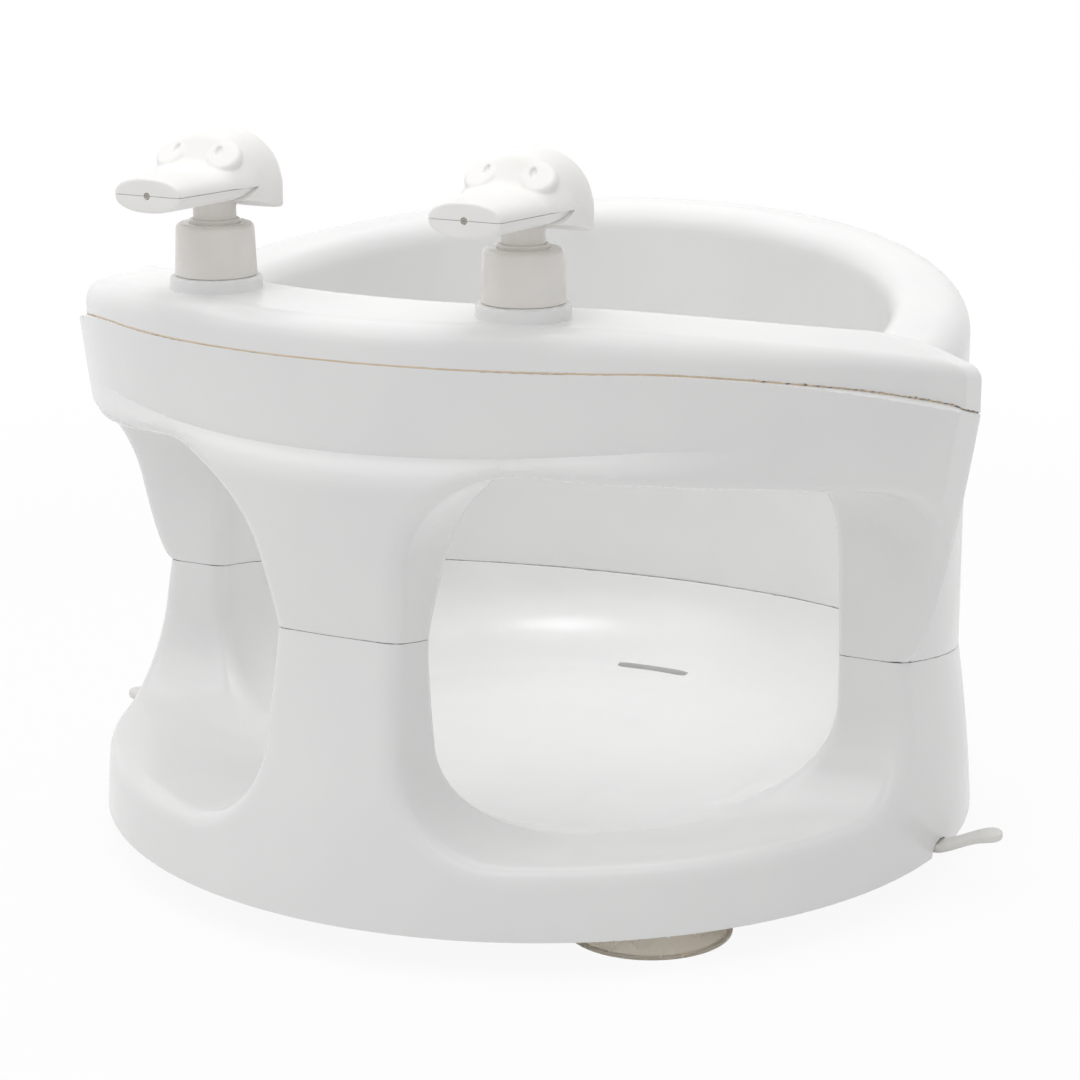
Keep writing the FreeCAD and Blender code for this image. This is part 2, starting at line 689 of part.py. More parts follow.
def suction_cup(x, y):
    foot = -STANDOFF
    neck_top = plate_z() + CUP_PLATE_T + FIT_CLEAR
    inner_r = CUP_R - CUP_RIM_W
    points = [(0, foot + CUP_HOLLOW_H), (CUP_HUB_R, foot + CUP_HOLLOW_H), (inner_r, foot), (CUP_R, foot),
              (CUP_R, foot + CUP_RIM_H), (CUP_HUB_R, CUP_SHOULDER_Z - CUP_RIM_H), (CUP_HUB_R, CUP_SHOULDER_Z),
              (CUP_NECK_R, CUP_SHOULDER_Z), (CUP_NECK_R, neck_top), (CUP_KNOB_R, neck_top),
              (CUP_KNOB_R - CUP_RIM_H, neck_top + CUP_KNOB_H), (0, neck_top + CUP_KNOB_H)]
    return turned(points, x, y)


def release_strap():
    """The right strap: an eye round each cup's neck, two arms, and a tongue that ends in a leaf."""
    low = CUP_SHOULDER_Z + FIT_CLEAR
    tab_y = -TAB_Y
    eye_r = STRAP_EYE_R
    pieces = []
    for y in (-CUP_Y, CUP_Y):
        pieces.append(rod(eye_r, low, low + STRAP_T, CUP_X, y))
        pieces.append(bar(vec(CUP_X, y, low), vec(STRAP_ROOT_X, tab_y, low), STRAP_W, STRAP_T))
    end_x = BASE_R + TAB_REACH - TAB_LEAF_R
    pieces.append(bar(vec(STRAP_ROOT_X, tab_y, low), vec(end_x - TAB_LEAF_L, tab_y, low), STRAP_W, STRAP_T))
    pieces.append(bar(vec(end_x - TAB_LEAF_L, tab_y, low), vec(end_x, tab_y, low), 2 * TAB_LEAF_R, STRAP_T))
    pieces += [rod(TAB_LEAF_R, low, low + STRAP_T, px, tab_y) for px in (end_x - TAB_LEAF_L, end_x)]
    pieces.append(rod(STRAP_W / 2, low, low + STRAP_T, STRAP_ROOT_X, tab_y))
    strap = pieces[0].fuse(pieces[1:])
    holes = [rod(CUP_NECK_R + FIT_CLEAR, low - STRAP_T, low + 2 * STRAP_T, CUP_X, y) for y in (-CUP_Y, CUP_Y)]
    return strap.cut(holes).removeSplitter()


def bar(start, end, width, height):
    """A flat bar between two points."""
    along = end - start
    side = UP.cross(along)
    side.normalize()
    side = side * (width / 2)
    wire = Part.makePolygon([start + side, end + side, end - side, start - side, start + side])
    return Part.Face(wire).extrude(vec(0, 0, height))


def collar():
    plate_foot = COLLAR_TOP_Z - COLLAR_PLATE_T
    bore, hole = NECK_R + THREAD_CLEAR, BUSH_RING_R + THREAD_CLEAR
    foot = BOSS_TOP_Z + THREAD_CLEAR
    points = [(bore, foot), (COLLAR_FOOT_R, foot), (COLLAR_TOP_R, COLLAR_TOP_Z - COLLAR_ROUND),
              (COLLAR_TOP_R - COLLAR_ROUND, COLLAR_TOP_Z), (hole, COLLAR_TOP_Z), (hole, plate_foot),
              (bore, plate_foot)]
    return turned(points)


def neck_seal():
    return tube(NECK_R, NECK_BORE_R, NECK_TOP_Z, NECK_TOP_Z + SEAL_T)


def barrel():
    flange_foot = NECK_TOP_Z + SEAL_T
    flange_top = flange_foot + BARREL_FLANGE_T
    nipple_foot = BARREL_FOOT_Z - NIPPLE_H
    points = [(BARREL_BORE_R, flange_top), (NECK_R, flange_top), (NECK_R, flange_foot),
              (BARREL_R, flange_foot),
              (BARREL_R, BARREL_FOOT_Z), (NIPPLE_R, BARREL_FOOT_Z), (NIPPLE_R, nipple_foot),
              (VALVE_SEAT_R, nipple_foot), (VALVE_SEAT_R, BARREL_FOOT_Z + BARREL_FOOT_T),
              (BARREL_BORE_R, BARREL_FOOT_Z + BARREL_FOOT_T)]
    return turned(points)


def bushing():
    shoulder = NECK_TOP_Z + SEAL_T + BARREL_FLANGE_T
    bore = STEM_R + RUN_CLEAR
    body_r = BARREL_BORE_R - RUN_CLEAR
    points = [(bore, shoulder - BUSH_H), (body_r, shoulder - BUSH_H), (body_r, shoulder),
              (BUSH_RING_R, shoulder), (BUSH_RING_R, COLLAR_TOP_Z + BUSH_RING_H),
              (bore, COLLAR_TOP_Z + BUSH_RING_H)]
    return turned(points)


def stem():
    return tube(STEM_R, STEM_BORE_R, STEM_FOOT_Z, STEM_TOP_Z)


def piston():
    lip_r, body_r = BARREL_BORE_R - RUN_CLEAR, BARREL_BORE_R - PISTON_LIP_H / 2
    foot = STEM_FOOT_Z - PISTON_H
    points = [(STEM_BORE_R, foot), (lip_r, foot), (lip_r, foot + PISTON_LIP_H),
              (body_r, foot + 2 * PISTON_LIP_H),
              (body_r, STEM_FOOT_Z), (STEM_BORE_R, STEM_FOOT_Z)]
    return turned(points)


def spring():
    """Return spring between the barrel's floor and the piston."""
    low = BARREL_FOOT_Z + BARREL_FOOT_T + SPRING_WIRE / 2 + RUN_CLEAR
    high = STEM_FOOT_Z - PISTON_H - SPRING_WIRE / 2 - RUN_CLEAR
    helix = Part.makeHelix((high - low) / SPRING_TURNS, high - low, SPRING_R)
    section = Part.Wire(Part.makeCircle(SPRING_WIRE / 2, vec(SPRING_R, 0, 0), vec(0, 1, 0)))
    coil = Part.Wire(helix.Edges).makePipeShell([section], True, True)
    coil.translate(vec(0, 0, low))
    return coil


def ball():
    seat = BARREL_FOOT_Z + BARREL_FOOT_T
    rise = math.sqrt(BALL_R ** 2 - VALVE_SEAT_R ** 2)
    return Part.makeSphere(BALL_R, vec(0, 0, seat + rise + RUN_CLEAR))


def dip_tube():
    bore = NIPPLE_R + RUN_CLEAR
    tank_floor = OPENING_TOP_Z + RING_SKIN + FIT_CLEAR + TANK_WALL
    fall = LID_CROWN_R - math.sqrt(LID_CROWN_R ** 2 - PUMP_X ** 2)
    return tube(bore + TUBE_WALL, bore, tank_floor - fall + TUBE_FOOT_GAP, BARREL_FOOT_Z - RUN_CLEAR)


def egg(half_x, half_y, half_z, y, z):
    """A ball stretched to three half-lengths."""
    matrix = FreeCAD.Matrix()
    matrix.scale(half_x, half_y, half_z)
    shape = Part.makeSphere(1).transformGeometry(matrix)
    shape.translate(vec(0, y, z))
    return shape


def oval(half_x, half_z, y, z):
    """An oval outline across the bill."""
    curve = Part.Ellipse(vec(half_x, y, z), vec(0, y, z + half_z), vec(0, y, z))
    return Part.Wire(curve.toShape())


def bill():
    """Both halves of the bill: a waist, then a broad flat tip."""
    root_y, waist_y = -HEAD_FRONT * BILL_ROOT_SHARE, -(HEAD_FRONT + BILL_REACH) / 2
    sections = [oval(BILL_ROOT_W / 2, BILL_ROOT_H / 2, root_y, BILL_TIP_Z + BILL_RISE),
                oval(BILL_WAIST_W / 2, BILL_WAIST_H / 2, waist_y, BILL_TIP_Z + BILL_RISE / 2),
                oval(BILL_TIP_W / 2, BILL_TIP_H / 2, -BILL_REACH, BILL_TIP_Z)]
    return Part.makeLoft(sections, True, False)


def under_head(shape):
    """The shape over the slanted foot of the head, which hangs lower at the nape."""
    return shape.common(above_plane(HEAD_FOOT_Z, (NAPE_Z - HEAD_FOOT_Z) / HEAD_BACK))


def head_egg(inset=0.0):
    half_y, half_z = (HEAD_BACK + HEAD_FRONT) / 2 - inset, HEAD_TOP_Z - HEAD_MIDDLE_Z - inset
    return egg(HEAD_W / 2 - inset, half_y, half_z, (HEAD_BACK - HEAD_FRONT) / 2, HEAD_MIDDLE_Z)


def eye(side):
    """One eye: a disc with a rounded rim that faces to the front, outwards and a little up."""
    out, up = math.radians(EYE_OUT_DEG), math.radians(EYE_UP_DEG)
    axis = vec(side * math.sin(out) * math.cos(up), -math.cos(out) * math.cos(up), math.sin(up))
    face = vec(side * EYE_X, -EYE_Y, EYE_Z)
    disc = Part.makeCylinder(EYE_R, EYE_DEPTH, face - axis * EYE_DEPTH, axis)
    rim = [edge for edge in disc.Edges if edge.CenterOfMass.distanceToPoint(face) < TOUCH]
    return disc.makeFillet(EYE_ROUND, rim)


def duck_head():
    """Upper half of the pump's head: cranium, eyes and upper bill, hollow over the jaw."""
    body = under_head(head_egg()).fuse([eye(-1), eye(1)])
    body = body.cut(under_head(head_egg(HEAD_SKIN)))
    upper = bill().common(slab(MOUTH_Z + MOUTH_GAP / 2, FAR * 2)).cut(head_egg(HEAD_SKIN))
    body = body.fuse(upper)
    slot = bill().common(slab(0, MOUTH_Z + MOUTH_GAP / 2))
    socket_room = rod(SOCKET_R + FIT_CLEAR, 0, STEM_TOP_Z + HEAD_SKIN + FIT_CLEAR)
    return body.cut([slot, nozzle(), socket_room.common(head_egg(HEAD_SKIN))]).removeSplitter()


def nozzle():
    return Part.makeCylinder(NOZZLE_R, BILL_TIP_W / 2, vec(0, -BILL_REACH, MOUTH_Z), BACKWARD)


def duck_jaw():
    """Lower half of the pump's head: lower bill, a web and the socket that rides on the stem."""
    lower = bill().common(slab(0, MOUTH_Z - MOUTH_GAP / 2))
    web_half = BILL_WAIST_W / 2 - HEAD_SKIN
    web = Part.makeBox(2 * web_half, HEAD_FRONT, MOUTH_Z - MOUTH_GAP / 2 - HEAD_FOOT_Z,
                       vec(-web_half, -HEAD_FRONT, HEAD_FOOT_Z))
    socket = rod(SOCKET_R, HEAD_FOOT_Z, STEM_TOP_Z + HEAD_SKIN)
    body = lower.fuse([web.common(head_egg(HEAD_SKIN + FIT_CLEAR)), socket])
    body = body.cut(rod(STEM_R + RUN_CLEAR, 0, STEM_TOP_Z + RUN_CLEAR))
    return body.cut(nozzle()).removeSplitter()


PUMP_PIECES = {"collar": collar, "neck_seal": neck_seal, "pump_barrel": barrel, "bushing": bushing,
               "stem": stem, "piston": piston, "return_spring": spring, "check_ball": ball,
               "dip_tube": dip_tube, "duck_head": duck_head, "duck_jaw": duck_jaw}


def place(shape):
    """Lifts a finished piece on to the cups and centres the part from front to back."""
    moved = shape.copy()
    moved.translate(vec(0, -CENTRE_Y, STANDOFF))
    return moved


def build():
    parts = {"base_shell": base_shell(), "ring_shell": ring_shell(), "lid": lid(), "lid_gasket": lid_gasket()}
    right_tank, right_strap = tank(), release_strap()
    parts["right_tank"], parts["left_tank"] = right_tank, mirrored(right_tank)
    parts["right_release_strap"], parts["left_release_strap"] = right_strap, mirrored(right_strap)
    for x, y, name in cup_places():
        parts[name + "_suction_cup"] = suction_cup(x, y)
    for name, make in PUMP_PIECES.items():
        piece = make()
        for side, x in (("left", -PUMP_X), ("right", PUMP_X)):
            copy = piece.copy()
            copy.translate(vec(x, -PUMP_Y))
            parts[side + "_" + name] = copy
    return parts


def main():
    os.makedirs("parts", exist_ok=True)
    for name, shape in build().items():
        solid = place(shape)
        print(name, len(solid.Solids), round(solid.Volume / 1000, 2), solid.isValid())
        solid.exportStep("parts/" + name + ".step")


if __name__ == "__main__":
    main()
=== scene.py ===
import logging
import math
from dataclasses import dataclass, field
from enum import Enum
from typing import Callable

import bmesh
import bpy
import numpy as np
from mathutils import Matrix, Vector

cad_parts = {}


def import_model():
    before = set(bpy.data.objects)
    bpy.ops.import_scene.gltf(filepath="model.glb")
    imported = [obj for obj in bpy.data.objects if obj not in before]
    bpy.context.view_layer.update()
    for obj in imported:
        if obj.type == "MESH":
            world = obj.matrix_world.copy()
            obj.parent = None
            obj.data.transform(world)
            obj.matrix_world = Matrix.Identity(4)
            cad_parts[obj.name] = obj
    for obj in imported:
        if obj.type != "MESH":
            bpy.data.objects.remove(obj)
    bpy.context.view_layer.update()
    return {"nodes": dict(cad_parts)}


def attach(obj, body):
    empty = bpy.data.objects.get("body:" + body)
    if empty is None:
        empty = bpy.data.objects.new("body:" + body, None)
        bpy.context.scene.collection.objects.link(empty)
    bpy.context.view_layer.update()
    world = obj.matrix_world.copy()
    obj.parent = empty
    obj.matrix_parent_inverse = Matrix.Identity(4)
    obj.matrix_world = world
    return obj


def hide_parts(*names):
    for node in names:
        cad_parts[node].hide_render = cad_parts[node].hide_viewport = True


# A baby bath seat: a round base, a ring clipped on it, a crescent lid over two soap tanks and two
# small pumps whose heads are plain duck heads. The moulded shells are drawn as fields, functions
# that are negative inside the plastic, because moulded parts are forms that meet in rolled edges.
# Their sizes are in millimetres, with heights from the foot of the base's wall, as on the part's
# own drawing. Everything else in the scene is in metres, in the part's frame.

Array = np.ndarray
Field = Callable[[Array, Array, Array], Array]
Point = tuple[float, float]
Place = tuple[float, float, float]

MM = 0.001
# Points of a mesh nearer than this, in metres, are one point
MERGE = 1e-7
# Least radius of a rolled edge on a form, in millimetres
LEAST_ROLL = 0.3
# Where the drawing's origin lies in the part's frame, in millimetres
DRAWING_PLACE_MM = (0.0, 2.0, 14.0)
LOG = logging.getLogger("bath_seat")


class Side(Enum):
    """The two sides of the seat, seen from the front."""

    LEFT = -1
    RIGHT = 1

    def node(self, piece: str) -> str:
        """Name of this side's copy of a piece."""
        return f"{self.name.lower()}_{piece}"


def linear(code: str) -> tuple[float, float, float, float]:
    """Turns an sRGB colour into Blender's linear one.

    Args:
        code: Six hex digits, such as "F4F4F2".

    Returns:
        Red, green, blue and an alpha of one.
    """
    parts = [int(code[k:k + 2], 16) / 255 for k in (0, 2, 4)]
    red, green, blue = [c / 12.92 if c <= 0.04045 else ((c + 0.055) / 1.055) ** 2.4 for c in parts]
    return red, green, blue, 1.0


def crisp_in(*fields: Array) -> Array:
    """What lies inside all the fields, with sharp edges."""
    result = fields[0]
    for other in fields[1:]:
        result = np.maximum(result, other)
    return result


def rolled_in(a: Array, b: Array, radius: float, lean: float = 0.0) -> Array:
    """What lies inside two fields, with the edge between them rolled.

    Args:
        a: First field.
        b: Second field.
        radius: Radius of the rolled edge.
        lean: Cosine of the angle between the two faces' outward directions.

    Returns:
        The field of the shared form.
    """
    over_a, over_b = a + radius, b + radius
    on_roll = (over_a > over_b * lean) & (over_b > over_a * lean)
    far = np.sqrt(np.maximum(over_a ** 2 + over_b ** 2 - 2 * lean * over_a * over_b, 0) / (1 - lean ** 2))
    return np.where(on_roll, far, np.maximum(over_a, over_b)) - radius


def rolled_out(a: Array, b: Array, radius: float) -> Array:
    """Both forms joined, with a fillet of the radius in the corner between them."""
    return -rolled_in(-a, -b, radius)


def corner_groups() -> Array:
    """Finds which corners of a grid cell hang together, for each way they can lie in and out.

    Returns:
        For each of the 256 cases, a group number for each of the 8 corners.
    """
    table = np.zeros((256, 8), dtype=np.int64)
    for case in range(256):
        inside = [case >> corner & 1 for corner in range(8)]
        group = list(range(8))
        for _ in range(4):
            for corner in range(8):
                for other in (corner ^ 1, corner ^ 2, corner ^ 4):
                    if inside[corner] == inside[other]:
                        group[corner] = group[other] = min(group[corner], group[other])
        table[case] = group
    return table


CORNER_GROUPS = corner_groups()
# A corner's number is the sum of these for its high places along X, Y and Z
CORNER_BITS = (4, 2, 1)
# Numbers kept for the sheets of one cell, which are told apart by the group of corners outside
SHEETS = 8


@dataclass(frozen=True)
class Contour:
    """Turns a field into a mesh whose corners lie on the form's own edges.

    Each cell of a grid gets one vertex for each sheet of the surface that passes through it. The
    vertex lies where the sheet's tangent planes in that cell meet, so that flat faces, rolls and
    sharp edges all hold. Two sheets in a cell, as on a thin wall, stay apart.
    """

    low: Place
    high: Place
    step: float
    pull: float = 0.05
    probe: float = 0.02
    tries: int = 4
    margin: float = 0.1
    least_slope: float = 0.5
    most_shift: float = 0.25

    def axes(self) -> list[Array]:
        """The grid's places along X, Y and Z."""
        return [np.arange(a, b + self.step, self.step) for a, b in zip(self.low, self.high)]

    def slope(self, form: Field, points: Array) -> Array:
        """The field's gradient at points, by central differences."""
        columns = []
        for axis in range(3):
            ahead, back = points.copy(), points.copy()
            ahead[:, axis] += self.probe
            back[:, axis] -= self.probe
            columns.append((form(*ahead.T) - form(*back.T)) / (2 * self.probe))
        return np.stack(columns, axis=1)

    def crossings(self, form: Field, values: Array, axes: list[Array],
                  axis: int) -> tuple[Array, Array, Array]:
        """Where the surface crosses the grid's edges along one axis.

        Args:
            form: The field.
            values: The field on the grid.
            axes: The grid's places.
            axis: Direction of the edges.

        Returns:
            The edges' first corners, the crossing points and whether each edge starts inside.
        """
        count = values.shape[axis] - 1
        first = np.take(values, range(count), axis=axis)
        second = np.take(values, range(1, count + 1), axis=axis)
        corners = np.argwhere((first < 0) != (second < 0))
        a, b = first[tuple(corners.T)], second[tuple(corners.T)]
        points = np.stack([axes[k][corners[:, k]] for k in range(3)], axis=1)
        low = points[:, axis].copy()
        high = low + self.step
        rising = a < 0
        points[:, axis] = low + self.step * a / (a - b)
        for _ in range(self.tries):
            value = form(*points.T)
            before = (value < 0) == rising
            low = np.where(before, points[:, axis], low)
            high = np.where(before, high, points[:, axis])
            a = np.where(before, value, a)
            b = np.where(before, b, value)
            share = np.clip(a / (a - b), self.margin, 1 - self.margin)
            points[:, axis] = low + (high - low) * share
        return corners, points, rising

    def mesh(self, form: Field) -> tuple[Array, Array]:
        """The surface where the field is zero.

        Args:
            form: The field, negative inside.

        Returns:
            Vertices in the field's own units, and quads.
        """
        axes = self.axes()
        grid = np.meshgrid(*axes, indexing="ij", sparse=True)
        values = np.ascontiguousarray(np.broadcast_to(form(*grid), [len(a) for a in axes]))
        shape = np.array(values.shape) - 1
        cases = self.cases(values < 0, shape)
        cells_of, points_of, slopes_of, quads_of = [], [], [], []
        for axis in range(3):
            corners, points, rising = self.crossings(form, values, axes, axis)
            slopes = self.slope(form, points)
            slopes /= np.linalg.norm(slopes, axis=1, keepdims=True)
            one, two = (axis + 1) % 3, (axis + 2) % 3
            ring = []
            for back_one, back_two in ((1, 1), (0, 1), (0, 0), (1, 0)):
                cell = corners.copy()
                cell[:, one] -= back_one
                cell[:, two] -= back_two
                cell = np.clip(cell, 0, shape - 1)
                first = back_one * CORNER_BITS[one] + back_two * CORNER_BITS[two]
                second = first + CORNER_BITS[axis]
                outer = CORNER_GROUPS[cases[tuple(cell.T)], np.where(rising, second, first)]
                ring.append(np.ravel_multi_index(cell.T, shape) * SHEETS + outer)
            quad = np.stack(ring, axis=1)
            quad[~rising] = quad[~rising][:, ::-1]
            quads_of.append(quad)
            cells_of.append(np.stack(ring, axis=1).ravel())
            points_of.append(np.repeat(points, 4, axis=0))
            slopes_of.append(np.repeat(slopes, 4, axis=0))
        cells, quads = np.concatenate(cells_of), np.concatenate(quads_of)
        used, slot = np.unique(cells, return_inverse=True)
        cell = np.stack(np.unravel_index(used // SHEETS, shape), axis=1)
        vertices = self.settle(np.concatenate(points_of), np.concatenate(slopes_of), slot, cell)
        step = self.slope(form, vertices)
        reach = form(*vertices.T) / np.maximum((step ** 2).sum(axis=1), self.least_slope ** 2)
        most = self.step * self.most_shift
        moved = step * np.clip(reach, -most, most)[:, None]
        return vertices - moved, np.searchsorted(used, quads)

    def cases(self, inside: Array, shape: Array) -> Array:
        """Each cell's case, a number with one bit for each corner that lies inside."""
        result = np.zeros(shape, dtype=np.int64)
        for corner in range(8):
            low = [corner // bit % 2 for bit in CORNER_BITS]
            part = inside[tuple(slice(a, a + n) for a, n in zip(low, shape))]
            result |= part.astype(np.int64) << corner
        return result

    def settle(self, points: Array, slopes: Array, slot: Array, cell: Array) -> Array:
        """Places each sheet's vertex where its tangent planes meet.

        Args:
            points: Crossing points, once for each sheet that has them.
            slopes: Unit normals there.
            slot: Which sheet each belongs to.
            cell: The place in the grid of each sheet's cell.

        Returns:
            One vertex for each sheet.
        """
        count = np.bincount(slot)
        middle = np.stack([np.bincount(slot, points[:, k]) for k in range(3)], axis=1) / count[:, None]
        offset = points - middle[slot]
        reach = (slopes * offset).sum(axis=1)
        normal = np.zeros((len(cell), 3, 3))
        for i in range(3):
            for j in range(3):
                normal[:, i, j] = np.bincount(slot, slopes[:, i] * slopes[:, j])
        normal += np.eye(3) * (self.pull * count)[:, None, None]
        target = np.stack([np.bincount(slot, slopes[:, k] * reach) for k in range(3)], axis=1)
        vertex = middle + np.linalg.solve(normal, target[:, :, None])[:, :, 0]
        low = np.array(self.low) + cell * self.step
        return np.clip(vertex, low, low + self.step)


def drawn_piece(name: str, form: Field, contour: Contour, sharp_deg: float = 32.0,
                tall: float = 1.0) -> bpy.types.Object:
    """Makes an object of the scene from a field on the part's drawing.

    Args:
        name: The object's name.
        form: The field, in millimetres.
        contour: The grid that it is read on.
        sharp_deg: Edges that turn by more than this stay sharp.
        tall: How many times its height a thin flat form has in the grid's space.

    Returns:
        The object, with its place in its mesh.
    """
    vertices, quads = contour.mesh(lambda x, y, z: form(x, y, z / tall))
    placed = (vertices / np.array((1.0, 1.0, tall)) + np.array(DRAWING_PLACE_MM)) * MM
    mesh = bpy.data.meshes.new(name)
    mesh.from_pydata(placed.tolist(), [], quads.tolist())
    mesh.validate()
    mesh.update()
    mesh.shade_smooth()
    mesh.set_sharp_from_angle(angle=math.radians(sharp_deg))
    piece = bpy.data.objects.new(name, mesh)
    bpy.context.scene.collection.objects.link(piece)
    LOG.info("%s: %d vertices, %d faces", name, len(placed), len(quads))
    return piece


@dataclass(frozen=True)
class SeatSizes:
    """Sizes that the shells share, in millimetres."""

    base_r: float = 180.0
    base_middle_r: float = 177.0
    base_middle_z: float = 36.0
    seam_z: float = 77.0
    seam_fall: float = 0.18
    seam_r: float = 171.0
    seam_hole_r: float = 144.0
    seam_y: float = 6.0
    seam_gap: float = 0.18
    plan_z: float = 245.0
    front_r: float = 200.0
    front_y: float = -178.3
    front_lean_deg: float = -40.0
    wing_side_x: float = 203.9
    wing_hold: float = 0.4
    wing_hold_from: float = 110.0
    wing_hold_run: float = 60.0
    wing_arris_roll: float = 1.6
    wing_heel_y: float = -15.0
    wing_heel_r: float = 6.0
    back_r: float = 179.3
    back_y: float = -17.7
    hole_r: float = 140.0
    hole_y: float = -2.0
    hole_front_r: float = 190.0
    hole_front_y: float = -113.5
    hole_corner_r: float = 30.0
    rim_z: float = 203.5
    rim_rise: float = 0.149
    rim_outer_roll: float = 13.0
    rim_inner_roll: float = 11.0
    floor_z: float = 17.0
    floor_r: float = 98.0
    post_half: float = 24.0
    waist_z: float = 104.0
    post_top_slope: float = 9.0 / 46.0
    post_foot_slope: float = 4.0 / 44.0
    waist_blend: float = 18.0
    rear_post_y: float = -25.0
    opening_top_z: float = 176.0
    top_round: float = 40.0
    foot_round: float = 36.0
    sill_inner_r: float = 112.0
    sill_inner_z: float = 18.4
    sill_slope: float = 9.6 / 74.0
    edge_roll: float = 6.0
    crown_r: float = 770.0
    lid_seam_z: float = 211.0
    lid_front_r: float = 190.0
    lid_front_y: float = -175.0
    lid_lean_deg: float = -33.82
    lid_side_x: float = 194.4
    lid_arris_roll: float = 2.0
    lid_end_y: float = -13.5
    lid_heel_r: float = 6.0
    lid_rear_r: float = 190.0
    lid_rear_y: float = -119.0
    lid_top_z: float = 226.0
    lid_flat_half: float = 60.0
    lid_bend_r: float = 380.0
    lid_round: float = 9.0
    lid_end_round: float = 3.5
    lid_round_from: float = 120.0
    lid_round_run: float = 70.0
    reach_y: float = -40.0
    reach_share: float = 0.5
    seam_bow: float = 7000.0
    seam_end: float = 105.0
    seam_end_bow: float = 408.0
    lid_wall: float = 4.0
    lid_gap: float = 0.5
    gasket_t: float = 0.6
    skin: float = 3.0
    pocket_rear_y: float = -42.0
    pocket_flange_in: float = 8.0
    gasket_in: float = 0.2
    gasket_w: float = 5.0
    pocket_skin: float = 5.0
    pocket_lap: float = 1.0
    foot_bead_h: float = 3.0
    foot_bead_skin: float = 5.6
    slot_r: float = 107.0
    slot_half_l: float = 15.0
    slot_half_w: float = 2.0
    notch_y: float = -4.0
    notch_half: float = 8.0
    notch_h: float = 5.5


@dataclass(frozen=True)
class WingCurve:
    """A plan curve: an arc at the front that runs on as its tangent line to a side edge."""

    radius: float
    front_y: float
    lean_deg: float
    side_x: float
    arris_roll: float

    def outside(self, x: Array, y: Array, inset: float = 0.0) -> Array:
        """Distance outside the curve, or outside the curve drawn further in.

        Args:
            x: Place from side to side.
            y: Place from front to back.
            inset: How much further in the curve is drawn.

        Returns:
            The field on the plan.
        """
        lean = math.radians(self.lean_deg)
        ax, back = np.abs(x), y - self.front_y - self.radius
        along = ax * math.cos(lean) + back * math.sin(lean)
        past = back * math.cos(lean) - ax * math.sin(lean)
        front = np.where(past > 0, along, np.hypot(ax, back)) - self.radius
        roll = max(self.arris_roll - inset, LEAST_ROLL)
        return rolled_in(front + inset, ax - self.side_x + inset, roll, math.cos(lean))


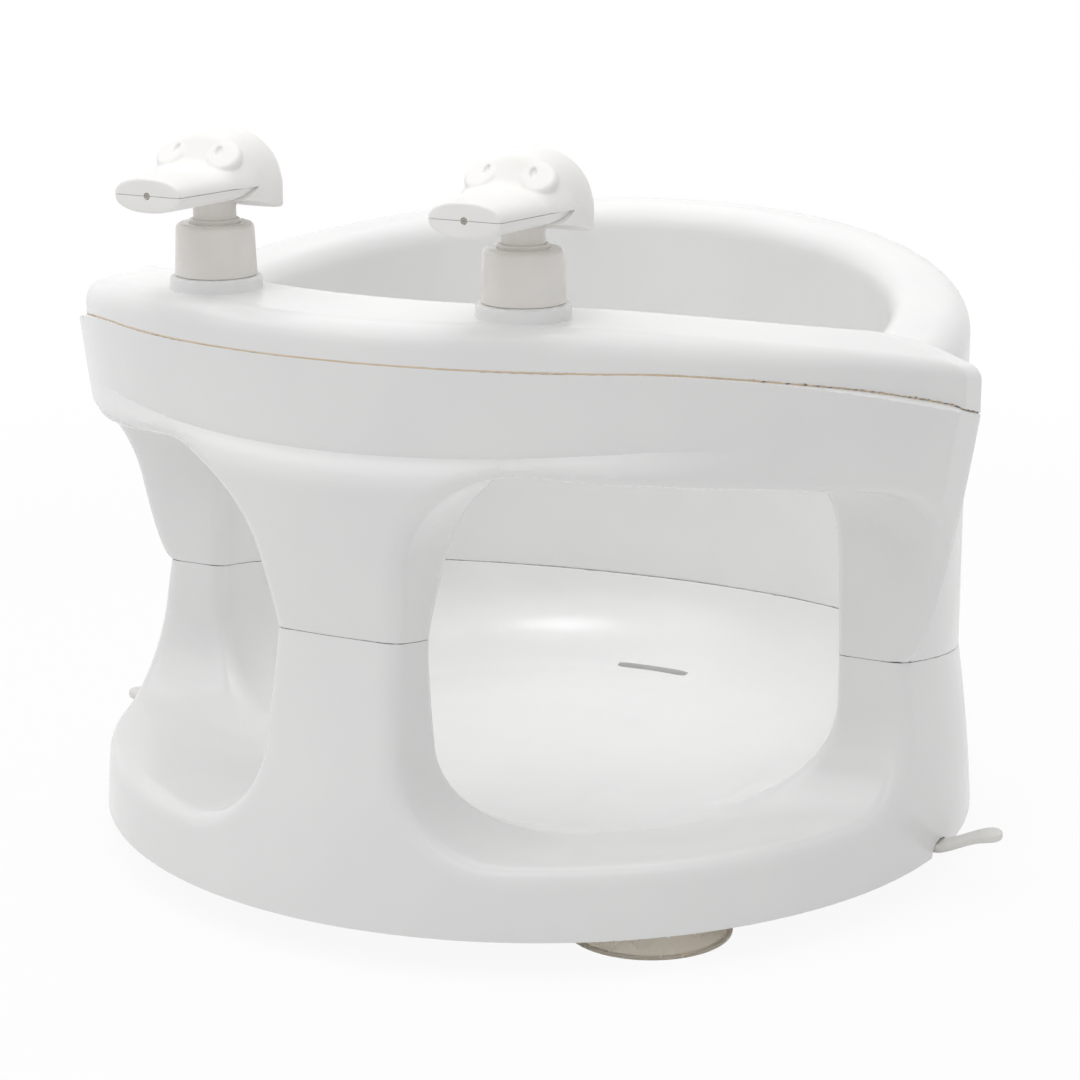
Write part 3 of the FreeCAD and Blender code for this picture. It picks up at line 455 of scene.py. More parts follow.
@dataclass(frozen=True)
class SeatFields:
    """The forms of the base, ring and lid, as fields on the part's drawing."""

    size: SeatSizes = field(default_factory=SeatSizes)

    def fall(self, x: Array) -> Array:
        """How far the crown has fallen below its top at a distance from the middle."""
        return self.size.crown_r - np.sqrt(self.size.crown_r ** 2 - x ** 2)

    def crown(self, x: Array, z: Array, top_z: float) -> Array:
        """Field under a crowned surface."""
        return z + self.fall(x) - top_z

    def reach(self, x: Array, y: Array) -> Array:
        """Distance from the lid's middle, to which the wing tips' run to the rear adds."""
        s = self.size
        return np.abs(x) + s.reach_share * np.maximum(y - s.reach_y, 0)

    def lid_seam(self, x: Array, y: Array, z: Array, top_z: float) -> Array:
        """Field under the lid's seam, nearly level over the pumps and bent down at both ends."""
        s = self.size
        reach = self.reach(x, y)
        end = np.maximum(reach - s.seam_end, 0)
        return z + reach ** 2 / s.seam_bow + end ** 2 / s.seam_end_bow - top_z

    def seam_height(self, y: Array) -> Array:
        """Height of the seam plane between base and ring."""
        return self.size.seam_z - self.size.seam_fall * y

    def share_up(self, x: Array, y: Array, z: Array, seam_r: float) -> Array:
        """How far a point has come from the seam to the plan above the rim, from 0 to 1."""
        turn = (y - self.size.seam_y) / np.maximum(np.hypot(x, y - self.size.seam_y), 1.0)
        foot = self.seam_height(self.size.seam_y + seam_r * turn)
        return (z - foot) / (self.size.plan_z - foot)

    def seam_circle(self, x: Array, y: Array, radius: float) -> Array:
        """Distance outside a circle about the seam's centre."""
        return np.hypot(x, y - self.size.seam_y) - radius

    def wall(self, x: Array, y: Array, z: Array) -> Array:
        """Outside of the round back wall."""
        s = self.size
        up = self.share_up(x, y, z, s.seam_r)
        return (1 - up) * self.seam_circle(x, y, s.seam_r) + up * (np.hypot(x, y - s.back_y) - s.back_r)

    def wing(self, x: Array, y: Array, z: Array) -> Array:
        """Outside of the front band and its two wing tips."""
        s = self.size
        up = self.share_up(x, y, z, s.seam_r)
        hold = s.wing_hold * np.clip((np.abs(x) - s.wing_hold_from) / s.wing_hold_run, 0, 1)
        up = np.maximum(up, 0) ** (1 - hold) + np.minimum(up, 0)
        curve = WingCurve(s.front_r, s.front_y, s.front_lean_deg, s.wing_side_x, s.wing_arris_roll)
        front = (1 - up) * self.seam_circle(x, y, s.seam_r) + up * curve.outside(x, y)
        return rolled_in(front, y - s.wing_heel_y, s.wing_heel_r)

    def hole(self, x: Array, y: Array, z: Array) -> Array:
        """The seat's inside in the ring."""
        s = self.size
        up = self.share_up(x, y, z, s.seam_hole_r)
        side = np.hypot(x, y - s.hole_y) - s.hole_r
        front = np.hypot(x, y - s.hole_front_y - s.hole_front_r) - s.hole_front_r
        plan = rolled_in(side, front, s.hole_corner_r)
        return (1 - up) * self.seam_circle(x, y, s.seam_hole_r) + up * plan

    def bowl(self, x: Array, y: Array, z: Array, grow: float = 0.0) -> Array:
        """The seat's hollow in the base."""
        s = self.size
        side = self.seam_circle(x, y, s.seam_hole_r + grow)
        return rolled_in(side, s.floor_z - grow - z, s.seam_hole_r - s.floor_r + grow)

    def skirt(self, x: Array, y: Array, z: Array, grow: float = 0.0) -> Array:
        """Outside of the base, flared to its foot."""
        s = self.size
        turn = (y - s.seam_y) / np.maximum(np.hypot(x, y - s.seam_y), 1.0)
        top = self.seam_height(s.seam_y + s.seam_r * turn)
        at_top = z * (z - s.base_middle_z) / (top * (top - s.base_middle_z))
        at_middle = z * (top - z) / (s.base_middle_z * (top - s.base_middle_z))
        at_foot = 1 - at_top - at_middle
        radius = at_foot * s.base_r + at_middle * s.base_middle_r + at_top * s.seam_r + grow
        return np.hypot(x, y - at_top * s.seam_y) - radius

    def leg_sides(self, x: Array, y: Array, z: Array, grow: float = 0.0) -> Array:
        """Between the front post's side and the rear post's face."""
        s = self.size
        rise = z - s.waist_z
        bend = (np.hypot(rise, s.waist_blend) + rise) / 2
        post = s.post_half + s.post_top_slope * bend + s.post_foot_slope * (bend - rise)
        return np.maximum(post - np.abs(x), y - s.rear_post_y) - grow

    def lower_opening(self, x: Array, y: Array, z: Array, grow: float = 0.0) -> Array:
        """The leg openings' half in the base, over the sill."""
        s = self.size
        out = np.maximum(self.seam_circle(x, y, s.sill_inner_r), 0)
        sill = s.sill_inner_z + s.sill_slope * out - z - grow
        return rolled_in(self.leg_sides(x, y, z, grow), sill, s.foot_round + grow)

    def upper_opening(self, x: Array, y: Array, z: Array, grow: float = 0.0) -> Array:
        """The leg openings' half in the ring, under its band."""
        s = self.size
        return rolled_in(self.leg_sides(x, y, z, grow), self.crown(x, z, s.opening_top_z + grow),
                         s.top_round + grow)

    def lid_rear(self, x: Array, y: Array, inset: float = 0.0) -> Array:
        """Field in front of the lid's rear edge."""
        s = self.size
        return s.lid_rear_r + inset - np.hypot(x, y - s.lid_rear_y - s.lid_rear_r)

    def lid_plan(self, x: Array, y: Array, inset: float = 0.0) -> Array:
        """Field inside the lid's crescent plan."""
        s = self.size
        curve = WingCurve(s.lid_front_r, s.lid_front_y, s.lid_lean_deg, s.lid_side_x, s.lid_arris_roll)
        heel = max(s.lid_heel_r - inset, LEAST_ROLL)
        ends = rolled_in(curve.outside(x, y, inset), y - s.lid_end_y + inset, heel)
        return rolled_in(ends, self.lid_rear(x, y, inset), s.lid_arris_roll)

    def lid_top(self, x: Array, y: Array, z: Array) -> Array:
        """Field under the lid's top: level in the middle, bent down towards both ends."""
        s = self.size
        past = np.maximum(self.reach(x, y) - s.lid_flat_half, 0)
        return np.hypot(past, np.maximum(z - s.lid_top_z + s.lid_bend_r, 1.0)) - s.lid_bend_r

    def lid(self, x: Array, y: Array, z: Array) -> Array:
        """The crescent lid with its two bosses and necks, hollow below."""
        s, pump = self.size, PumpSizes()
        top = self.lid_top(x, y, z)
        foot = self.lid_seam(x, y, z, s.lid_seam_z + s.gasket_t)
        outward = np.clip((np.abs(x) - s.lid_round_from) / s.lid_round_run, 0, 1)
        shell = rolled_in(self.lid_plan(x, y), top, s.lid_round + (s.lid_end_round - s.lid_round) * outward)
        hollow = np.maximum(self.lid_plan(x, y, s.lid_wall), top + s.lid_wall)
        away = np.hypot(np.abs(x) - pump.x, y - pump.y)
        boss = rolled_in(away - pump.boss_r, z - pump.boss_top_z, pump.boss_roll)
        neck = np.maximum(away - pump.neck_r, z - pump.neck_top_z)
        shell = rolled_out(np.maximum(shell, -hollow), boss, pump.boss_foot_roll)
        return crisp_in(np.minimum(shell, neck), pump.neck_bore_r - away, -foot)

    def base(self, x: Array, y: Array, z: Array) -> Array:
        """The base shell, open below."""
        s = self.size
        solid = np.maximum(self.skirt(x, y, z), -self.bowl(x, y, z))
        solid = rolled_in(solid, -self.lower_opening(x, y, z), s.edge_roll)
        inner = np.maximum(self.skirt(x, y, z, -s.skin), -self.bowl(x, y, z, s.skin))
        inner = rolled_in(inner, -self.lower_opening(x, y, z, s.skin), s.edge_roll - s.skin / 2)
        inner = np.maximum(inner, z - self.seam_height(y) + s.seam_gap + s.skin)
        inner = np.maximum(inner, np.minimum(self.skirt(x, y, z, -s.foot_bead_skin), s.foot_bead_h - z))
        body = crisp_in(solid, -inner, -z, z - self.seam_height(y) + s.seam_gap)
        return crisp_in(body, -self.drain_slot(x, y, z), -self.tab_notch(x, y, z))

    def drain_slot(self, x: Array, y: Array, z: Array) -> Array:
        """The curved slot at the rear of the floor, with round ends."""
        s = self.size
        back = y - s.seam_y
        turn = np.arctan2(x, back)
        half = math.asin(s.slot_half_l / s.slot_r)
        turn = np.clip(turn, -half, half)
        away = np.hypot(x - s.slot_r * np.sin(turn), back - s.slot_r * np.cos(turn))
        return np.maximum(away - s.slot_half_w, z - s.seam_z)

    def tab_notch(self, x: Array, y: Array, z: Array) -> Array:
        """The arched notches in the base's foot that let the straps' tongues out."""
        s = self.size
        arch = np.hypot((y - s.notch_y) / s.notch_half, z / s.notch_h)
        return np.maximum((arch - 1) * s.notch_h, s.base_middle_r * 0.9 - np.abs(x))

    def ring(self, x: Array, y: Array, z: Array) -> Array:
        """The ring: back wall with its rolled rim, band, wings and posts, with a pocket for the tanks."""
        s = self.size
        rim = z - s.rim_z - s.rim_rise * y
        hole = -self.hole(x, y, z)
        wall = np.maximum(rolled_in(self.wall(x, y, z), rim, s.rim_outer_roll),
                          rolled_in(hole, rim, s.rim_inner_roll))
        over_band = -self.lid_seam(x, y, z, s.lid_seam_z)
        lid_room = crisp_in(over_band, self.lid_rear(x, y, -s.lid_gap), y - s.lid_end_y - s.lid_gap)
        wall = np.maximum(wall, -lid_room)
        wing = crisp_in(self.wing(x, y, z), hole, -over_band)
        solid = np.minimum(wall, wing)
        solid = rolled_in(solid, -self.upper_opening(x, y, z), s.edge_roll)
        over_floor = np.maximum(-self.crown(x, z, s.opening_top_z + s.skin), y - s.pocket_rear_y)
        pocket = np.maximum(self.wing(x, y, z) + s.pocket_skin, s.skin - self.hole(x, y, z))
        pocket = rolled_in(pocket, over_floor, s.edge_roll)
        pocket = np.maximum(pocket, self.lid_seam(x, y, z, s.lid_seam_z - s.skin))
        mouth = crisp_in(self.lid_plan(x, y, s.pocket_flange_in), y - s.pocket_rear_y,
                         -self.lid_seam(x, y, z, s.lid_seam_z - s.skin - s.pocket_lap))
        return crisp_in(solid, -np.minimum(pocket, mouth), self.seam_height(y) - z)

    def gasket(self, x: Array, y: Array, z: Array) -> Array:
        """The seal between the ring and the lid."""
        s = self.size
        plan = np.maximum(self.lid_plan(x, y, s.gasket_in), -self.lid_plan(x, y, s.gasket_in + s.gasket_w))
        return crisp_in(plan, self.lid_seam(x, y, z, s.lid_seam_z + s.gasket_t),
                        -self.lid_seam(x, y, z, s.lid_seam_z))


@dataclass(frozen=True)
class PumpSizes:
    """Sizes of one pump, in millimetres, with heights from the foot of the base's wall."""

    x: float = 64.5
    y: float = -137.0
    boss_r: float = 17.2
    boss_top_z: float = 231.0
    boss_roll: float = 1.6
    boss_foot_roll: float = 0.6
    neck_r: float = 13.4
    neck_bore_r: float = 11.9
    neck_top_z: float = 246.0
    collar_foot_r: float = 15.3
    collar_top_r: float = 14.5
    collar_foot_z: float = 231.08
    collar_top_z: float = 250.5
    collar_bore_r: float = 13.7
    collar_hole_r: float = 9.45
    collar_plate: float = 2.0
    collar_roll: float = 2.2
    ring_r: float = 9.35
    ring_top_z: float = 252.0
    bush_r: float = 9.95
    bush_foot_z: float = 239.4
    bush_shoulder_z: float = 248.4
    stem_r: float = 8.0
    stem_bore_r: float = 2.4
    stem_foot_z: float = 226.0
    stem_top_z: float = 264.0
    run_gap: float = 0.05
    foot_z: float = 259.2
    nape_fall: float = 0.234
    top_z: float = 285.3
    head_half: float = 22.3
    head_length_half: float = 24.0
    head_y: float = 3.3
    head_fullness: float = 2.2
    least_far: float = 1e-3
    least_near: float = 1e-4
    hood_draft: float = 0.12
    hood_roll: float = 1.6
    head_z: float = 262.0
    lip_z: float = 266.4
    lip_out: float = 0.12
    head_skin: float = 2.0
    bill_reach: float = 43.3
    bill_root_y: float = -3.0
    bill_half: tuple[float, float] = (20.5, 14.0)
    bill_over: tuple[float, float] = (8.6, 6.2)
    bill_under: tuple[float, float] = (6.4, 6.2)
    bill_fullness: float = 2.3
    bill_edge_roll: float = 0.8
    bill_root_roll: float = 3.0
    bill_blend: float = 2.5
    bill_past_tip: float = 1.1
    mouth_z: float = 265.4
    mouth_gap: float = 0.02
    mouth_groove: float = 0.12
    mouth_groove_depth: float = 0.35
    mouth_end_y: float = -3.2
    mouth_end_lean: float = 1.33
    face_place: tuple[float, float] = (-10.6, 277.6)
    face_up_deg: float = 38.0
    face_bow: float = 0.008
    face_in: float = 0.5
    brow_roll: float = 7.0
    brow_lean: float = 0.8
    eye_r: float = 6.8
    eye_depth: float = 4.0
    eye_x: float = 11.4
    eye_y: float = -10.9
    eye_z: float = 277.2
    eye_out_deg: float = 12.0
    eye_up_deg: float = 46.0
    eye_roll: float = 1.9
    eye_crease: float = 0.5
    pupil_half: tuple[float, float, float] = (1.2, 2.1, 1.2)
    pupil_in: float = 2.0
    pupil_rise: float = 1.8
    pupil_roll: float = 0.5
    socket_r: float = 10.4
    nozzle_r: float = 1.3
    nozzle_l: float = 5.0
    outlet_r: float = 1.28
    outlet_bore_r: float = 0.25
    outlet_in: float = 0.15
    outlet_l: float = 4.5
    outlet_roll: float = 0.3
    outlet_step: float = 0.15
    head_step: float = 0.5
    room_side: float = 26.0
    room_front: float = 49.0
    room_back: float = 33.0
    room_below: float = 8.0
    room_above: float = 2.0


@dataclass(frozen=True)
class PumpFields:
    """The forms of a duck head, as fields about the pump's own axis."""

    size: PumpSizes = field(default_factory=PumpSizes)

    def cranium(self, x: Array, y: Array, z: Array, inset: float = 0.0) -> Array:
        """The round top of the head, with upright sides under its widest place."""
        s = self.size
        a, b, c = s.head_half - inset, s.head_length_half - inset, s.top_z - s.head_z - inset
        up = np.maximum(z - s.head_z, 0) + s.hood_draft * np.minimum(z - s.head_z, 0)
        parts = [np.abs(x) / a, np.abs(y - s.head_y) / b, np.abs(up) / c]
        far = sum(part ** s.head_fullness for part in parts) ** (1 / s.head_fullness)
        slopes = [part ** (s.head_fullness - 1) / half for part, half in zip(parts, (a, b, c))]
        near = np.sqrt(sum(slope ** 2 for slope in slopes))
        far_power = np.maximum(far, s.least_far) ** (s.head_fullness - 1)
        dome = (far - 1) * far_power / np.maximum(near, s.least_near)
        tilt = math.radians(s.face_up_deg)
        face = (s.face_place[0] - y) * math.cos(tilt) + (z - s.face_place[1]) * math.sin(tilt)
        face = face + s.face_bow * (x * x - s.eye_x ** 2) + s.face_in + inset
        return rolled_in(dome, face, s.brow_roll, s.brow_lean)

    def bill(self, x: Array, y: Array, z: Array, root_roll: float = LEAST_ROLL) -> Array:
        """Both halves of the bill: broad at the head, a slight waist, then a flared flat tip."""
        s = self.size
        share = np.clip((s.bill_root_y - y) / (s.bill_reach + s.bill_root_y), 0, s.bill_past_tip)
        half, over, under = [root + (tip - root) * share
                             for root, tip in (s.bill_half, s.bill_over, s.bill_under)]
        rise = z - s.mouth_z
        tall = np.where(rise > 0, over, under)
        k = ((np.abs(x) / half) ** s.bill_fullness + (np.abs(rise) / tall) ** s.bill_fullness)
        side = (k ** (1 / s.bill_fullness) - 1) * np.minimum(half, tall)
        form = rolled_in(side, -y - s.bill_reach, s.bill_edge_roll)
        return rolled_in(form, y - s.bill_root_y, root_roll)

    def eyes(self, x: Array, y: Array, z: Array) -> tuple[Array, Array]:
        """The two raised discs of the eyes, and the dimples in them."""
        s = self.size
        out, up = math.radians(s.eye_out_deg), math.radians(s.eye_up_deg)
        axis = (math.sin(out) * math.cos(up), -math.cos(out) * math.cos(up), math.sin(up))
        across, back, rise = np.abs(x) - s.eye_x, y - s.eye_y, z - s.eye_z
        along = across * axis[0] + back * axis[1] + rise * axis[2]
        sideways = across * math.cos(out) + back * math.sin(out)
        lift = (-math.sin(out) * math.sin(up), math.cos(out) * math.sin(up), math.cos(up))
        upright = across * lift[0] + back * lift[1] + rise * lift[2]
        aside = np.hypot(sideways, upright)
        disc = rolled_in(aside - s.eye_r, np.maximum(along, -s.eye_depth - along), s.eye_roll)
        wide, tall, deep = s.pupil_half
        pupil = np.sqrt(((sideways + s.pupil_in) / wide) ** 2 + ((upright - s.pupil_rise) / tall) ** 2
                        + (along / deep) ** 2)
        return disc, (pupil - 1) * wide

    def head(self, x: Array, y: Array, z: Array) -> Array:
        """The whole outside of the head and bill."""
        s = self.size
        disc, pupil = self.eyes(x, y, z)
        foot = s.foot_z - s.nape_fall * y - z
        lip = crisp_in(self.cranium(x, y, z, -s.lip_out), z - s.lip_z, self.mouth_end(z) - y)
        hood = rolled_in(np.minimum(self.cranium(x, y, z), lip), foot, s.hood_roll)
        form = rolled_out(hood, self.bill(x, y, z, s.bill_root_roll), s.bill_blend)
        form = rolled_out(form, disc, s.eye_crease)
        return rolled_in(form, -pupil, s.pupil_roll)

    def nozzle(self, x: Array, y: Array, z: Array) -> Array:
        """The nozzle's bore in the tip."""
        s = self.size
        return np.maximum(np.hypot(x, z - s.mouth_z) - s.nozzle_r, y + s.bill_reach - s.nozzle_l)

    def groove(self, outside: Array) -> Array:
        """Half the mouth's gap: next to nothing inside, and bevelled open at the surface."""
        s = self.size
        return s.mouth_gap / 2 + s.mouth_groove * np.clip(1 + outside / s.mouth_groove_depth, 0, 1)

    def mouth_end(self, z: Array) -> Array:
        """Where the jaw ends against the hood, which slants forward under the mouth's corner."""
        s = self.size
        return s.mouth_end_y + s.mouth_end_lean * np.minimum(z - s.mouth_z, 0)

    def upper(self, x: Array, y: Array, z: Array) -> Array:
        """Head and upper bill, hollow over the jaw."""
        s = self.size
        floor = s.foot_z + s.head_skin - s.nape_fall * y - z
        inner = np.maximum(self.cranium(x, y, z, s.head_skin), floor)
        inner = np.minimum(inner, np.maximum(np.hypot(x, y) - s.socket_r - s.mouth_groove, z - s.lip_z))
        head = self.head(x, y, z)
        under = np.maximum(z - s.mouth_z - self.groove(head), y - self.mouth_end(z))
        return crisp_in(head, -inner, -under, -self.nozzle(x, y, z))

    def jaw(self, x: Array, y: Array, z: Array) -> Array:
        """Lower bill, with the web and socket that ride on the stem."""
        s = self.size
        bill = self.bill(x, y, z)
        lower = crisp_in(bill, z - s.mouth_z + self.groove(bill), y - self.mouth_end(z) + s.mouth_gap)
        socket = crisp_in(np.hypot(x, y) - s.socket_r, z - s.stem_top_z - s.head_skin, s.foot_z - z)
        form = np.minimum(lower, socket)
        hollow = np.maximum(np.hypot(x, y) - s.stem_r - s.run_gap, z - s.stem_top_z)
        return crisp_in(form, -hollow, -self.nozzle(x, y, z))

    def outlet(self, x: Array, y: Array, z: Array) -> Array:
        """The small soft outlet set in the nozzle's mouth."""
        s = self.size
        away = np.hypot(x, z - s.mouth_z)
        length = np.abs(y + s.bill_reach - s.outlet_in - s.outlet_l / 2) - s.outlet_l / 2
        return np.maximum(rolled_in(away - s.outlet_r, length, s.outlet_roll), s.outlet_bore_r - away)


@dataclass(frozen=True)
class StrapSizes:
    """Sizes of the suction cups and their release straps, in millimetres."""

    cup_x: float = 97.0
    cup_y: float = 97.0
    cup_r: float = 32.0
    cup_foot_z: float = -14.0
    cup_hollow: float = 6.0
    hub_r: float = 10.0
    hub_foot_z: float = -0.9
    hub_top_z: float = 0.6
    neck_r: float = 5.0
    neck_top_z: float = 7.5
    knob_r: float = 7.0
    knob_h: float = 5.0
    strap_foot_z: float = 0.9
    strap_t: float = 3.0
    strap_half: float = 4.5
    eye_r: float = 10.0
    neck_hole_r: float = 5.3
    root_x: float = 160.0
    tab_y: float = -4.0
    tab_end_x: float = 198.6
    tab_rise: float = 8.0
    tab_rise_x: float = 177.0
    tab_rise_run: float = 25.0
    leaf_r: float = 6.0
    leaf_l: float = 16.0
    leaf_blend: float = 3.0
    arm_blend: float = 6.0
    eye_blend: float = 4.0
    strap_roll: float = 1.0
    strap_room: float = 16.0
    strap_low_z: float = -1.0
    strap_high_z: float = 16.0
    strap_step: float = 1.0
    lip_w: float = 3.0
    lip_t: float = 1.5
    knob_draft: float = 1.5


@dataclass(frozen=True)
class StrapFields:
    """The form of the right release strap."""

    size: StrapSizes = field(default_factory=StrapSizes)

    def bar(self, x: Array, y: Array, start: Point, end: Point, half: float) -> Array:
        """Field of a round-ended bar on the plan."""
        dx, dy = end[0] - start[0], end[1] - start[1]
        share = np.clip(((x - start[0]) * dx + (y - start[1]) * dy) / (dx * dx + dy * dy), 0, 1)
        return np.hypot(x - start[0] - share * dx, y - start[1] - share * dy) - half

    def strap(self, x: Array, y: Array, z: Array) -> Array:
        """An eye round each cup's neck, two arms and a tongue that ends in a leaf."""
        s = self.size
        root = (s.root_x, s.tab_y)
        plan = self.bar(x, y, root, (s.tab_end_x, s.tab_y), s.strap_half)
        leaf = self.bar(x, y, (s.tab_end_x - s.leaf_l, s.tab_y), (s.tab_end_x, s.tab_y), s.leaf_r)
        plan = rolled_out(plan, leaf, s.leaf_blend)
        for sign in (-1, 1):
            cup = (s.cup_x, sign * s.cup_y)
            plan = rolled_out(plan, self.bar(x, y, cup, root, s.strap_half), s.arm_blend)
            eye = np.hypot(x - cup[0], y - cup[1])
            plan = np.maximum(rolled_out(plan, eye - s.eye_r, s.eye_blend), s.neck_hole_r - eye)
        out = np.clip((np.abs(x) - s.tab_rise_x) / s.tab_rise_run, 0, 1)
        middle = s.strap_foot_z + s.strap_t / 2 + s.tab_rise * out ** 2 * (3 - 2 * out)
        return rolled_in(plan, np.abs(z - middle) - s.strap_t / 2, s.strap_roll)


def rolled_profile(corners: list[Place], pieces: int = 8) -> list[Point]:
    """Rounds the corners of a closed outline.

    Args:
        corners: Radius from the axis, height and roll of each corner, in millimetres.
        pieces: Steps in each rounded corner.

    Returns:
        The outline's points.
    """
    points: list[Point] = []
    for k, (r, z, roll) in enumerate(corners):
        here = Vector((r, z))
        if roll <= 0:
            points.append((r, z))
            continue
        before, after = (Vector(corners[j][:2]) for j in (k - 1, (k + 1) % len(corners)))
        back, on = (before - here).normalized(), (after - here).normalized()
        half = back.angle(on) / 2
        centre = here + (back + on).normalized() * (roll / math.sin(half))
        start, end = here + back * (roll / math.tan(half)), here + on * (roll / math.tan(half))
        first, last = start - centre, end - centre
        sweep = first.angle_signed(last)
        for step in range(pieces + 1):
            spoke = Matrix.Rotation(-sweep * step / pieces, 2) @ first
            points.append(tuple(centre + spoke))
    return points


def turned_piece(name: str, outline: list[Point], x: float = 0.0, y: float = 0.0, sides: int = 96,
                 sharp_deg: float = 35.0) -> bpy.types.Object:
    """Turns a closed outline about an upright axis.

    Args:
        name: The object's name.
        outline: Radius and height of each point, in millimetres on the part's drawing.
        x: The axis's place from side to side.
        y: The axis's place from front to back.
        sides: Steps in a full turn.
        sharp_deg: Edges that turn by more than this stay sharp.

    Returns:
        The object, with its place in its mesh.
    """
    shape = bmesh.new()
    rings = []
    for r, z in outline:
        turns = [2 * math.pi * k / sides for k in range(sides)]
        places = [(x + r * math.cos(a), y + r * math.sin(a), z) for a in turns]
        rings.append([shape.verts.new((Vector(p) + Vector(DRAWING_PLACE_MM)) * MM) for p in places])
    for low, high in zip(rings, rings[1:] + rings[:1]):
        for k in range(sides):
            shape.faces.new((low[k - 1], low[k], high[k], high[k - 1]))
    bmesh.ops.remove_doubles(shape, verts=shape.verts, dist=MERGE)
    bmesh.ops.dissolve_degenerate(shape, edges=shape.edges, dist=MERGE)
    bmesh.ops.recalc_face_normals(shape, faces=shape.faces)
    mesh = bpy.data.meshes.new(name)
    shape.to_mesh(mesh)
    shape.free()
    mesh.shade_smooth()
    mesh.set_sharp_from_angle(angle=math.radians(sharp_deg))
    piece = bpy.data.objects.new(name, mesh)
    bpy.context.scene.collection.objects.link(piece)
    return piece


def add_node(tree: bpy.types.NodeTree, kind: str, values: dict | None = None, links: dict | None = None,
             **settings: object) -> bpy.types.Node:
    """Adds a node with its settings and links.

    Args:
        tree: The node tree.
        kind: The node's type.
        values: Values of unlinked inputs, by socket name or number.
        links: Output sockets to join to inputs, by socket name or number.
        **settings: Properties of the node itself.

    Returns:
        The new node.
    """
    node = tree.nodes.new(kind)
    for name, value in settings.items():
        setattr(node, name, value)
    for name, value in (values or {}).items():
        node.inputs[name].default_value = value
    for name, socket in (links or {}).items():
        tree.links.new(socket, node.inputs[name])
    return node


@dataclass(frozen=True)
class Finish:
    """A moulded or drawn surface: two close colours in cloudy patches, an uneven gloss and two bumps."""

    name: str
    light: str
    dark: str
    patch_mm: float
    roughness: tuple[float, float]
    smear_mm: float
    grain_mm: float
    grain_depth_mm: float
    wave_mm: float
    wave_depth_mm: float
    ior: float = 1.49
    metallic: float = 0.0
    subsurface: float = 0.0
    bleed_mm: float = 1.0
    transmission: float = 0.0
    stretch: Place = (1.0, 1.0, 1.0)
    cloud: Point = (0.3, 0.7)
    bleed_rgb: Place = (1.0, 0.9, 0.8)

    def noise(self, tree: bpy.types.NodeTree, where: bpy.types.NodeSocket, size_mm: float,
              detail: float) -> bpy.types.NodeSocket:
        """A noise pattern whose patches are about a real size.

        Args:
            tree: The material's node tree.
            where: The places that it is read at, in metres.
            size_mm: Size of the patches.
            detail: Finer layers added to the pattern.

        Returns:
            The pattern's factor.
        """
        pattern = add_node(tree, "ShaderNodeTexNoise", {"Scale": 1 / (size_mm * MM), "Detail": detail},
                           {"Vector": where})
        return pattern.outputs["Fac"]

    def spread(self, tree: bpy.types.NodeTree, factor: bpy.types.NodeSocket, low: float,
               high: float) -> bpy.types.NodeSocket:
        """Stretches the middle of a noise to a range of values."""
        ranged = add_node(tree, "ShaderNodeMapRange",
                          {"From Min": self.cloud[0], "From Max": self.cloud[1],
                           "To Min": low, "To Max": high}, {"Value": factor})
        return ranged.outputs["Result"]

    def material(self) -> bpy.types.Material:
        """Builds the finish's material."""
        material = bpy.data.materials.new(self.name)
        material.use_nodes = True
        tree = material.node_tree
        tree.nodes.clear()
        place = add_node(tree, "ShaderNodeTexCoord").outputs["Object"]
        mapped = add_node(tree, "ShaderNodeMapping", {"Scale": self.stretch}, {"Vector": place})
        where = mapped.outputs["Vector"]
        patches = self.spread(tree, self.noise(tree, where, self.patch_mm, 2.0), 0.0, 1.0)
        colour = self.mix(tree, patches)
        smear = self.spread(tree, self.noise(tree, where, self.smear_mm, 3.0), *self.roughness)
        wave = add_node(tree, "ShaderNodeBump", {"Distance": self.wave_depth_mm * MM},
                        {"Height": self.noise(tree, where, self.wave_mm, 0.0)})
        grain = add_node(tree, "ShaderNodeBump", {"Distance": self.grain_depth_mm * MM},
                         {"Height": self.noise(tree, where, self.grain_mm, 1.0),
                          "Normal": wave.outputs["Normal"]})
        shader = add_node(tree, "ShaderNodeBsdfPrincipled",
                          {"IOR": self.ior, "Metallic": self.metallic, "Subsurface Weight": self.subsurface,
                           "Subsurface Scale": self.bleed_mm * MM, "Subsurface Radius": self.bleed_rgb,
                           "Transmission Weight": self.transmission},
                          {"Base Color": colour, "Roughness": smear, "Normal": grain.outputs["Normal"]})
        add_node(tree, "ShaderNodeOutputMaterial", links={"Surface": shader.outputs["BSDF"]})
        return material

    def mix(self, tree: bpy.types.NodeTree, factor: bpy.types.NodeSocket) -> bpy.types.NodeSocket:
        """The light colour turned to the dark one by a factor."""
        ramp = add_node(tree, "ShaderNodeValToRGB", links={"Fac": factor})
        ramp.color_ramp.elements[0].color = linear(self.light)
        ramp.color_ramp.elements[1].color = linear(self.dark)
        return ramp.outputs["Color"]


# Glossy injection-moulded polypropylene: a clean cool white whose long reflections wander a little
# with the shrinkage of the thick walls, over a skin as fine as the polished mould's
POLYPROPYLENE = Finish("gloss_white_polypropylene", "EFEFEE", "EBEBEB", 60.0, (0.2, 0.27), 35.0, 0.9, 0.004,
                       38.0, 0.05, subsurface=0.06, bleed_mm=1.5)
# ABS from a spark-eroded mould: a warmer white with a soft broad sheen and a grain just visible
SPARKED_ABS = Finish("satin_white_abs", "F6F5F3", "F2F1EE", 18.0, (0.38, 0.46), 12.0, 0.45, 0.012,
                     16.0, 0.03, ior=1.53, subsurface=0.08, bleed_mm=1.2)
